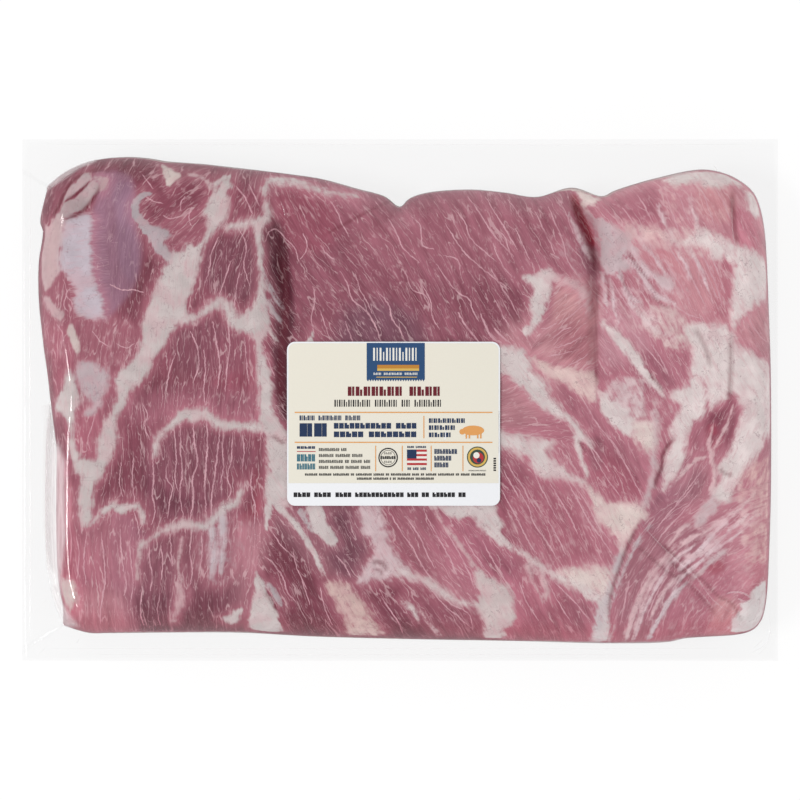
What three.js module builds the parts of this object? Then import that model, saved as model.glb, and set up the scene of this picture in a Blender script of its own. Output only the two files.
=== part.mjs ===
// A third of a skinless pork belly, vacuum-packed: the meat slab lies drawn tight in clear film, on the
// flat sheet of film that is welded round it as a margin, with a stuck-on label on top.
// Millimetres, +Z up. The origin is on the table under the middle of the pack, +X runs along its long
// side and +Y across it.

import * as THREE from 'three';

// ---------------------------------------------------------------- driving dimensions

// The film bag: its cut length and width, and the thickness of its two welded webs in the margin.
const BAG_LENGTH = 300;
const BAG_WIDTH = 207;
const MARGIN_THICKNESS = 0.8;

// The slab: thickness of the meat, how far in from its edge the top starts to round over, the height at
// which its side stands out furthest, and how far the film tucks in under that bulge.
const SLAB_THICKNESS = 35;
const SHOULDER_REACH = 11;
const BULGE_HEIGHT = 14;
const TUCK = 2.5;

// The label: a standard 3.25 x 2.5 inch sticker.
const LABEL_LENGTH = 82.5;
const LABEL_WIDTH = 63.5;
const LABEL_CORNER = 3.1;
const LABEL_THICKNESS = 0.35;
const LABEL_GAP = 0.3;
const LABEL_CENTRE = { x: -2.5, y: -9.2 };

// The slab's edge, seen from above, as four runs that meet at its corners. Each run lists only the
// points where the edge turns, and a smooth curve passes through them.
const NEAR_EDGE = [
  [-132.8, -88.6], [-127, -90.2], [-121.5, -91.2], [-115, -90.8], [-64, -90.8], [-35, -92.7], [0, -93.7],
  [45, -94.3], [83, -95.7], [106, -94.9], [112, -93.2], [132, -92.2], [140.3, -89],
];
const RIGHT_EDGE = [
  [140.3, -89], [144, -81], [145.6, -53], [146.1, -32], [146, 10], [145.4, 30], [143.6, 66], [140.3, 80.2],
];
const FAR_EDGE = [
  [-138.7, 84.1], [-131.7, 89.6], [-121.4, 93.6], [-108, 95.3], [-99, 94.9], [-91.6, 93.2], [-70.7, 92],
  [-42, 88.8], [-30, 86.9], [-17, 83.3], [-6, 80.2], [0, 75.7], [3.4, 79], [10.2, 81.6], [27.9, 82.9],
  [41.3, 81.4], [53.8, 79.4], [67.6, 83.7], [79.6, 79.8], [84.5, 82.5], [100, 86.9], [119, 90.8],
  [132, 87.2], [140.3, 80.2],
];
const LEFT_EDGE = [
  [-132.8, -88.6], [-136.6, -78], [-138.8, -66], [-139.1, -18], [-137.9, 0], [-140.7, 23.6],
  [-142.3, 40], [-142.3, 54], [-140.7, 66.4], [-141.7, 70], [-138.7, 84.1],
];

// Broad swells of the top: centre, reach along X and Y, and rise.
const SWELLS = [
  { x: -95, y: -15, reachX: 38, reachY: 75, rise: 2.4 }, // the thick block on the left
  { x: 12, y: 38, reachX: 46, reachY: 36, rise: 2.2 }, // the lobe behind the label
  { x: 112, y: 30, reachX: 26, reachY: 60, rise: 2.0 }, // the lobe on the right
  { x: 40, y: -62, reachX: 60, reachY: 30, rise: 1.2 }, // in front of the label
  { x: -132, y: 62, reachX: 16, reachY: 40, rise: -3.0 }, // the thin trimmed corner at the far left
];

// Creases between the muscles: a route of [x, y, share of the full depth], the full depth, and how far
// the top slopes down to the crease on the left and on the right of the route.
const CREASES = [
  // the valley between the left block and the middle lobe
  { depth: 5.5, left: 11, right: 12,
    route: [[-50, 94, 0.3], [-49, 78, 0.7], [-45.5, 60, 1], [-44.5, 42, 1], [-46, 28, 0.5], [-48, 16, 0]] },
  // where the middle lobe folds over, at the notch in the far edge
  { depth: 4, left: 7, right: 8,
    route: [[1, 84, 1], [-1.5, 72, 1], [-9.7, 66.6, 0.8], [-20, 60, 0.5], [-24, 50, 0]] },
  // the open fold in front of the right lobe
  { depth: 10, left: 9, right: 13,
    route: [[66.5, 86, 0.9], [69.4, 76, 1], [73.3, 70, 0.95], [76, 62, 0.75], [77, 47, 0.5],
      [75.5, 30, 0.35], [75.5, 10, 0.2], [73, -6, 0]] },
  // the slant crease that the film presses across the near right corner
  { depth: 2.2, left: 10, right: 10,
    route: [[93, -38, 0], [98.5, -49.6, 0.7], [107.8, -63.2, 1], [117.4, -75.6, 1], [131, -84.1, 0.6],
      [140, -90, 0]] },
];

// Fineness of the facets: spaces along and across the flat of the top, and steps round each curve.
const SPACES_ALONG = 56;
const SPACES_ACROSS = 34;
const SHOULDER_STEPS = 4;
const TUCK_STEPS = 3;
const LABEL_SPACES_ALONG = 16;
const LABEL_SPACES_ACROSS = 10;
const LABEL_CORNER_STEPS = 3;

// ---------------------------------------------------------------- the form of the slab

// A smooth flat curve through a run's points.
function edgeCurve(points) {
  const through = points.map(([x, y]) => new THREE.Vector3(x, y, 0));
  return new THREE.CatmullRomCurve3(through, false, 'centripetal');
}

const EDGES = {
  near: edgeCurve(NEAR_EDGE),
  right: edgeCurve(RIGHT_EDGE),
  far: edgeCurve(FAR_EDGE),
  left: edgeCurve(LEFT_EDGE),
};

// The place on the slab for shares u (left to right) and v (near to far), blended from the four edges.
function placeInside(u, v) {
  const near = EDGES.near.getPointAt(u);
  const far = EDGES.far.getPointAt(u);
  const left = EDGES.left.getPointAt(v);
  const right = EDGES.right.getPointAt(v);
  const blend = (axis) => (1 - v) * near[axis] + v * far[axis] + (1 - u) * left[axis] + u * right[axis]
    - (1 - u) * (1 - v) * EDGES.near.points[0][axis]
    - u * (1 - v) * EDGES.right.points[0][axis]
    - (1 - u) * v * EDGES.far.points[0][axis]
    - u * v * EDGES.right.points.at(-1)[axis];
  return { x: blend('x'), y: blend('y') };
}

// The nearest place to (x, y) on a route of straight stretches: how far off it is, which side (x, y) is
// on, and where along which stretch.
function nearestOnRoute(route, x, y) {
  let nearest = { off: Infinity };
  for (let i = 0; i + 1 < route.length; i += 1) {
    const [ax, ay] = route[i];
    const [bx, by] = route[i + 1];
    const alongX = bx - ax;
    const alongY = by - ay;
    const share = ((x - ax) * alongX + (y - ay) * alongY) / (alongX * alongX + alongY * alongY);
    const part = Math.min(Math.max(share, 0), 1);
    const off = Math.hypot(x - ax - part * alongX, y - ay - part * alongY);
    if (off < nearest.off) {
      const onLeft = alongX * (y - ay) - alongY * (x - ax) > 0;
      nearest = { off, onLeft, stretch: i, part };
    }
  }
  return nearest;
}

function creaseDepth(crease, x, y) {
  const { off, onLeft, stretch, part } = nearestOnRoute(crease.route, x, y);
  const reach = onLeft ? crease.left : crease.right;
  if (off >= reach) return 0;
  const share = THREE.MathUtils.lerp(crease.route[stretch][2], crease.route[stretch + 1][2], part);
  return crease.depth * share * (1 - off / reach) ** 2;
}

// Height of the top before it rounds over at the edge.
function crownHeight(x, y) {
  let height = SLAB_THICKNESS;
  for (const swell of SWELLS) {
    const far = ((x - swell.x) / swell.reachX) ** 2 + ((y - swell.y) / swell.reachY) ** 2;
    height += swell.rise * Math.exp(-far / 2);
  }
  for (const crease of CREASES) height -= creaseDepth(crease, x, y);
  return height;
}

// The slab's whole edge as one closed route, from which the rounding of the top is measured.
const EDGE_SAMPLES = 90;
const WHOLE_EDGE = [
  ...EDGES.near.getSpacedPoints(EDGE_SAMPLES),
  ...EDGES.right.getSpacedPoints(EDGE_SAMPLES).slice(1),
  ...EDGES.far.getSpacedPoints(EDGE_SAMPLES).reverse().slice(1),
  ...EDGES.left.getSpacedPoints(EDGE_SAMPLES).reverse().slice(1),
].map((point) => [point.x, point.y]);

// Height of the rounded top: the crown, brought down to the bulge along a quarter of an ellipse.
function topHeight(x, y) {
  const inFromEdge = nearestOnRoute(WHOLE_EDGE, x, y).off;
  const share = Math.min(inFromEdge / SHOULDER_REACH, 1);
  return BULGE_HEIGHT + (crownHeight(x, y) - BULGE_HEIGHT) * Math.sqrt(1 - (1 - share) ** 2);
}

// Shares from 0 to 1 along a span, close together where the top rounds over at both ends.
function spacedShares(span, spaces) {
  const shoulder = [];
  for (let i = 0; i < SHOULDER_STEPS; i += 1) {
    const turn = (Math.PI / 2) * (i / SHOULDER_STEPS);
    shoulder.push((SHOULDER_REACH * (1 - Math.cos(turn))) / span);
  }
  const flatStart = SHOULDER_REACH / span;
  const flat = [];
  for (let i = 0; i <= spaces; i += 1) flat.push(flatStart + (1 - 2 * flatStart) * (i / spaces));
  return [...shoulder, ...flat, ...shoulder.map((share) => 1 - share).reverse()];
}

// ---------------------------------------------------------------- helpers for closed meshes

class ClosedMesh {
  constructor() {
    this.points = [];
    this.corners = [];
  }

  addPoint(x, y, z) {
    this.points.push(x, y, z);
    return this.points.length / 3 - 1;
  }

  // Two faces on four points that run anticlockwise seen from outside.
  addQuad(a, b, c, d) {
    this.corners.push(a, b, c, a, c, d);
  }

  // A band of faces between two closed rings of points, the upper one and the lower one, which run
  // anticlockwise seen from above.
  addBand(upper, lower) {
    upper.forEach((point, i) => {
      const next = (i + 1) % upper.length;
      this.addQuad(point, lower[i], lower[next], upper[next]);
    });
  }

  toMesh(name, material) {
    const geometry = new THREE.BufferGeometry();
    geometry.setAttribute('position', new THREE.Float32BufferAttribute(this.points, 3));
    geometry.setIndex(this.corners);
    geometry.computeVertexNormals();
    const mesh = new THREE.Mesh(geometry, material);
    mesh.name = name;
    return mesh;
  }
}

// The points round the rim of a grid[column][row], anticlockwise seen from above.
function rimOf(grid) {
  const lastColumn = grid.length - 1;
  const lastRow = grid[0].length - 1;
  return [
    ...grid.map((column) => column[0]),
    ...grid[lastColumn].slice(1),
    ...grid.slice(0, lastColumn).reverse().map((column) => column[lastRow]),
    ...grid[0].slice(1, lastRow).reverse(),
  ];
}

// ---------------------------------------------------------------- the pack: slab in film, with its margin

function buildVacuumBag() {
  const bag = new ClosedMesh();

  // The top of the slab.
  const alongShares = spacedShares(BAG_LENGTH - 15, SPACES_ALONG);
  const acrossShares = spacedShares(BAG_WIDTH - 20, SPACES_ACROSS);
  const grid = alongShares.map((u) => acrossShares.map((v) => {
    const { x, y } = placeInside(u, v);
    return bag.addPoint(x, y, topHeight(x, y));
  }));
  for (let i = 0; i + 1 < grid.length; i += 1) {
    for (let j = 0; j + 1 < grid[0].length; j += 1) {
      bag.addQuad(grid[i][j], grid[i + 1][j], grid[i + 1][j + 1], grid[i][j + 1]);
    }
  }

  // The side, from the bulge down and in to the margin.
  const bulge = rimOf(grid);
  const onBulge = bulge.map((point) => new THREE.Vector2(bag.points[3 * point], bag.points[3 * point + 1]));
  const inwards = onBulge.map((_, i) => {
    const before = onBulge.at(i - 1);
    const after = onBulge[(i + 1) % onBulge.length];
    return new THREE.Vector2(before.y - after.y, after.x - before.x).normalize();
  });
  let upper = bulge;
  for (let step = 1; step <= TUCK_STEPS; step += 1) {
    const turn = (Math.PI / 2) * (step / TUCK_STEPS);
    const inset = TUCK * (1 - Math.cos(turn));
    const height = BULGE_HEIGHT - (BULGE_HEIGHT - MARGIN_THICKNESS) * Math.sin(turn);
    const lower = onBulge.map((place, i) => bag.addPoint(
      place.x + inset * inwards[i].x,
      place.y + inset * inwards[i].y,
      height,
    ));
    bag.addBand(upper, lower);
    upper = lower;
  }

  // The welded margin: a flat frame round the foot of the slab, its cut edge and its flat underside.
  const foot = upper;
  const halfLength = BAG_LENGTH / 2;
  const halfWidth = BAG_WIDTH / 2;
  const cut = [[-1, -1], [1, -1], [1, 1], [-1, 1]].map(([x, y]) => [x * halfLength, y * halfWidth]);
  const cutTop = cut.map(([x, y]) => bag.addPoint(x, y, MARGIN_THICKNESS));
  const cutBottom = cut.map(([x, y]) => bag.addPoint(x, y, 0));
  const frame = [...cutTop, ...foot];
  const flat = (point) => new THREE.Vector2(bag.points[3 * point], bag.points[3 * point + 1]);
  for (const [a, b, c] of THREE.ShapeUtils.triangulateShape(cutTop.map(flat), [foot.map(flat)])) {
    const facesUp = THREE.ShapeUtils.area([a, b, c].map((i) => flat(frame[i]))) > 0;
    bag.corners.push(frame[a], frame[facesUp ? b : c], frame[facesUp ? c : b]);
  }
  bag.addBand(cutTop, cutBottom);
  bag.addQuad(...[...cutBottom].reverse());

  const clearFilmOverMeat = new THREE.MeshStandardMaterial({ color: 0xa3646f, roughness: 0.25, metalness: 0 });
  return bag.toMesh('vacuum_bag', clearFilmOverMeat);
}

// ---------------------------------------------------------------- the label

// Half the label's length at a distance across from its middle: shorter where its corners round off.
function labelHalfLength(across) {
  const intoCorner = Math.max(Math.abs(across) - (LABEL_WIDTH / 2 - LABEL_CORNER), 0);
  return LABEL_LENGTH / 2 - LABEL_CORNER + Math.sqrt(Math.max(LABEL_CORNER ** 2 - intoCorner ** 2, 0));
}

// The label's rows, from its near to its far side, close together round the corners.
function labelRows() {
  const straight = LABEL_WIDTH / 2 - LABEL_CORNER;
  const farCorner = [];
  for (let i = 1; i <= LABEL_CORNER_STEPS; i += 1) {
    farCorner.push(straight + LABEL_CORNER * Math.sin((Math.PI / 2) * (i / LABEL_CORNER_STEPS)));
  }
  const middle = [];
  for (let i = 0; i <= LABEL_SPACES_ACROSS; i += 1) {
    middle.push(straight * ((2 * i) / LABEL_SPACES_ACROSS - 1));
  }
  return [...farCorner.map((across) => -across).reverse(), ...middle, ...farCorner];
}

function buildLabel() {
  const label = new ClosedMesh();
  const rows = labelRows();
  const addFace = (lift) => {
    const grid = [];
    for (let i = 0; i <= LABEL_SPACES_ALONG; i += 1) {
      grid.push(rows.map((across) => {
        const x = LABEL_CENTRE.x + labelHalfLength(across) * ((2 * i) / LABEL_SPACES_ALONG - 1);
        const y = LABEL_CENTRE.y + across;
        return label.addPoint(x, y, topHeight(x, y) + lift);
      }));
    }
    return grid;
  };
  const back = addFace(LABEL_GAP);
  const front = addFace(LABEL_GAP + LABEL_THICKNESS);
  for (let i = 0; i < LABEL_SPACES_ALONG; i += 1) {
    for (let j = 0; j + 1 < rows.length; j += 1) {
      label.addQuad(front[i][j], front[i + 1][j], front[i + 1][j + 1], front[i][j + 1]);
      label.addQuad(back[i][j], back[i][j + 1], back[i + 1][j + 1], back[i + 1][j]);
    }
  }
  label.addBand(rimOf(front), rimOf(back));

  const printedPaper = new THREE.MeshStandardMaterial({ color: 0xe9e4d6, roughness: 0.5, metalness: 0 });
  return label.toMesh('label', printedPaper);
}

// ---------------------------------------------------------------- the whole part

const pack = new THREE.Group();
pack.name = 'pork_belly_pack';
pack.add(buildVacuumBag(), buildLabel());

export default pack;
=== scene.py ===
"""A third of a skinless pork belly, vacuum-packed: the marbled slab, the clear film drawn tight on it and
welded round it, and the sticker on top, seen from straight above on a pale table."""

import math

import bpy
import numpy as np
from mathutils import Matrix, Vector


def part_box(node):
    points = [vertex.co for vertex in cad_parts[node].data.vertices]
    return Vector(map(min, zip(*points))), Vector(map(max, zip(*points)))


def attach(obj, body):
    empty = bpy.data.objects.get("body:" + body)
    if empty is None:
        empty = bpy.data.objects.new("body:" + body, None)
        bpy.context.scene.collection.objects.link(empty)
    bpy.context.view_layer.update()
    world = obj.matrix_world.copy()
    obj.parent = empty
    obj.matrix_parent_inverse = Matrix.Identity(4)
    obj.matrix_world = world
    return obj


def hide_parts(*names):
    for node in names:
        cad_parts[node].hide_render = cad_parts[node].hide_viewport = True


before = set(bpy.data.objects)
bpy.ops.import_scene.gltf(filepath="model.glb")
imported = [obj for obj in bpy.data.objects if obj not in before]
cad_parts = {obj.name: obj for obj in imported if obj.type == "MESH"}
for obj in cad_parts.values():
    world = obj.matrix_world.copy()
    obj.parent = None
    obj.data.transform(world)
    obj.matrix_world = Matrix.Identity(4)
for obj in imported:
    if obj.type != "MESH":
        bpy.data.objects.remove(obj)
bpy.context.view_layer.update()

MM = 0.001  # the sizes below are in millimetres, and Blender's are in metres


def srgb(red, green, blue):
    """A colour as a screen shows it, 0 to 255, as the linear colour that a shader takes."""
    shares = np.array([red, green, blue]) / 255
    linear = np.where(shares <= 0.04045, shares / 12.92, ((shares + 0.055) / 1.055) ** 2.4)
    return tuple(float(value) for value in linear)


# ------------------------------------------------------------------ sizes of the pack

BAG_LOW, BAG_HIGH = (np.array(corner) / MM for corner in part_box("vacuum_bag"))
LABEL_LOW, LABEL_HIGH = (np.array(corner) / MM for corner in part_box("label"))
BAG_LENGTH = float(BAG_HIGH[0] - BAG_LOW[0])
BAG_WIDTH = float(BAG_HIGH[1] - BAG_LOW[1])
LABEL_CORNER = 3.1
LABEL_GAP = 0.3  # from the film up to the label
LABEL_THICKNESS = 0.3

SLAB_THICKNESS = 35.0
SHOULDER_REACH = 11.0  # how far in from the edge the top rounds over
BULGE_HEIGHT = 14.0  # of the widest place of the side, where the top ends
TUCK = 2.5  # how far the foot pulls in under the edge
MARGIN_THICKNESS = 0.4  # the two welded webs
FILM_GAP = 0.45  # from the outside of the film to the meat

# The pack's edge seen from above, on the photo's rim and within about a millimetre of the model's.
NEAR_EDGE = [
    (-132.8, -88.6), (-127, -90.6), (-121.5, -91.8), (-115, -91.8), (-64, -91.6), (-35, -93.1),
    (0, -94.1), (45, -94.9), (83, -95.8), (106, -95.2), (112, -93.9), (132, -92.5), (136.8, -91.5),
    (139.6, -90), (140.9, -88.7),
]
RIGHT_EDGE = [
    (140.9, -88.7), (142.4, -86.4), (143.6, -82.4), (144.6, -75), (145.6, -53), (146.1, -32), (146, 10),
    (145.4, 30), (143.6, 66), (141.9, 75.2), (140.6, 79), (139.4, 81.3),
]
FAR_EDGE = [
    (-138.7, 84.1), (-131.7, 89.6), (-121.4, 94.1), (-108, 95.7), (-99, 95.2), (-91.6, 94), (-84, 93.4),
    (-77, 92.9), (-70.7, 92.2), (-42, 88.8), (-30, 86.9), (-17, 83.3), (-6, 80.2), (0, 76.2),
    (3.4, 79.2), (10.2, 81.6), (27.9, 82.9), (41.3, 81.7), (53.8, 80), (67.6, 83.7), (79.6, 80.3),
    (84.5, 82.5), (100, 87.2), (119, 90.8), (128.5, 89), (134.3, 86), (137.4, 83.6), (139.4, 81.3),
]
LEFT_EDGE = [
    (-132.8, -88.6), (-136.6, -78), (-138.8, -66), (-139.1, -18), (-137.9, 0), (-140.7, 23.6),
    (-142.3, 40), (-142.3, 54), (-140.7, 66.4), (-141.7, 70), (-138.7, 84.1),
]
# Broad swells of the top: x, y, reach along x, reach along y, rise.
SWELLS = [
    (-95, -15, 38, 75, 2.4), (12, 38, 46, 36, 2.2), (112, 30, 26, 60, 2.0), (40, -62, 60, 30, 1.2),
    (-132, 62, 16, 40, -3.0),
]
# Creases: depth, reach on the left, reach on the right, and a route of x, y, share of the depth.
CREASES = [
    (5.5, 11, 12, [
        (-50, 94, .3), (-49, 78, .7), (-45.5, 60, 1), (-44.5, 42, 1), (-46, 28, .5), (-48, 16, 0),
    ]),
    (4, 7, 8, [(1, 84, 1), (-1.5, 72, 1), (-9.7, 66.6, .8), (-20, 60, .5), (-24, 50, 0)]),
    (10, 9, 13, [
        (66.5, 86, .9), (69.4, 76, 1), (73.3, 70, .95), (76, 62, .75), (77, 47, .5), (75.5, 30, .35),
        (75.5, 10, .2), (73, -6, 0),
    ]),
    (2.2, 10, 10, [
        (93, -38, 0), (98.5, -49.6, .7), (107.8, -63.2, 1), (117.4, -75.6, 1), (131, -84.1, .6),
        (140, -90, 0),
    ]),
]

# ------------------------------------------------------------------ colours of the meat

LEAN = srgb(128, 64, 80)
LEAN_MIDDLE = srgb(152, 88, 104)
LEAN_RIGHT = srgb(171, 106, 121)
LEAN_LIGHT = srgb(201, 141, 150)
LEAN_IN_VALLEY_SHADE = srgb(70, 20, 36)
LEAN_BRIGHT = srgb(166, 88, 106)
LEAN_PINK = srgb(194, 136, 147)
LEAN_SALMON = srgb(214, 158, 162)
LEAN_BROWN = srgb(138, 96, 106)
MAUVE = srgb(150, 106, 126)
WHITE_FAT = srgb(211, 197, 196)
GREY_FAT = srgb(184, 170, 175)
LILAC_FAT = srgb(192, 168, 172)
SILVER_FAT = srgb(206, 192, 202)
CREAM_FAT = srgb(216, 198, 193)
BEIGE_FAT = srgb(190, 168, 170)
PINK_FAT = srgb(204, 168, 172)
STRAND_FAT = srgb(214, 190, 196)
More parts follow.
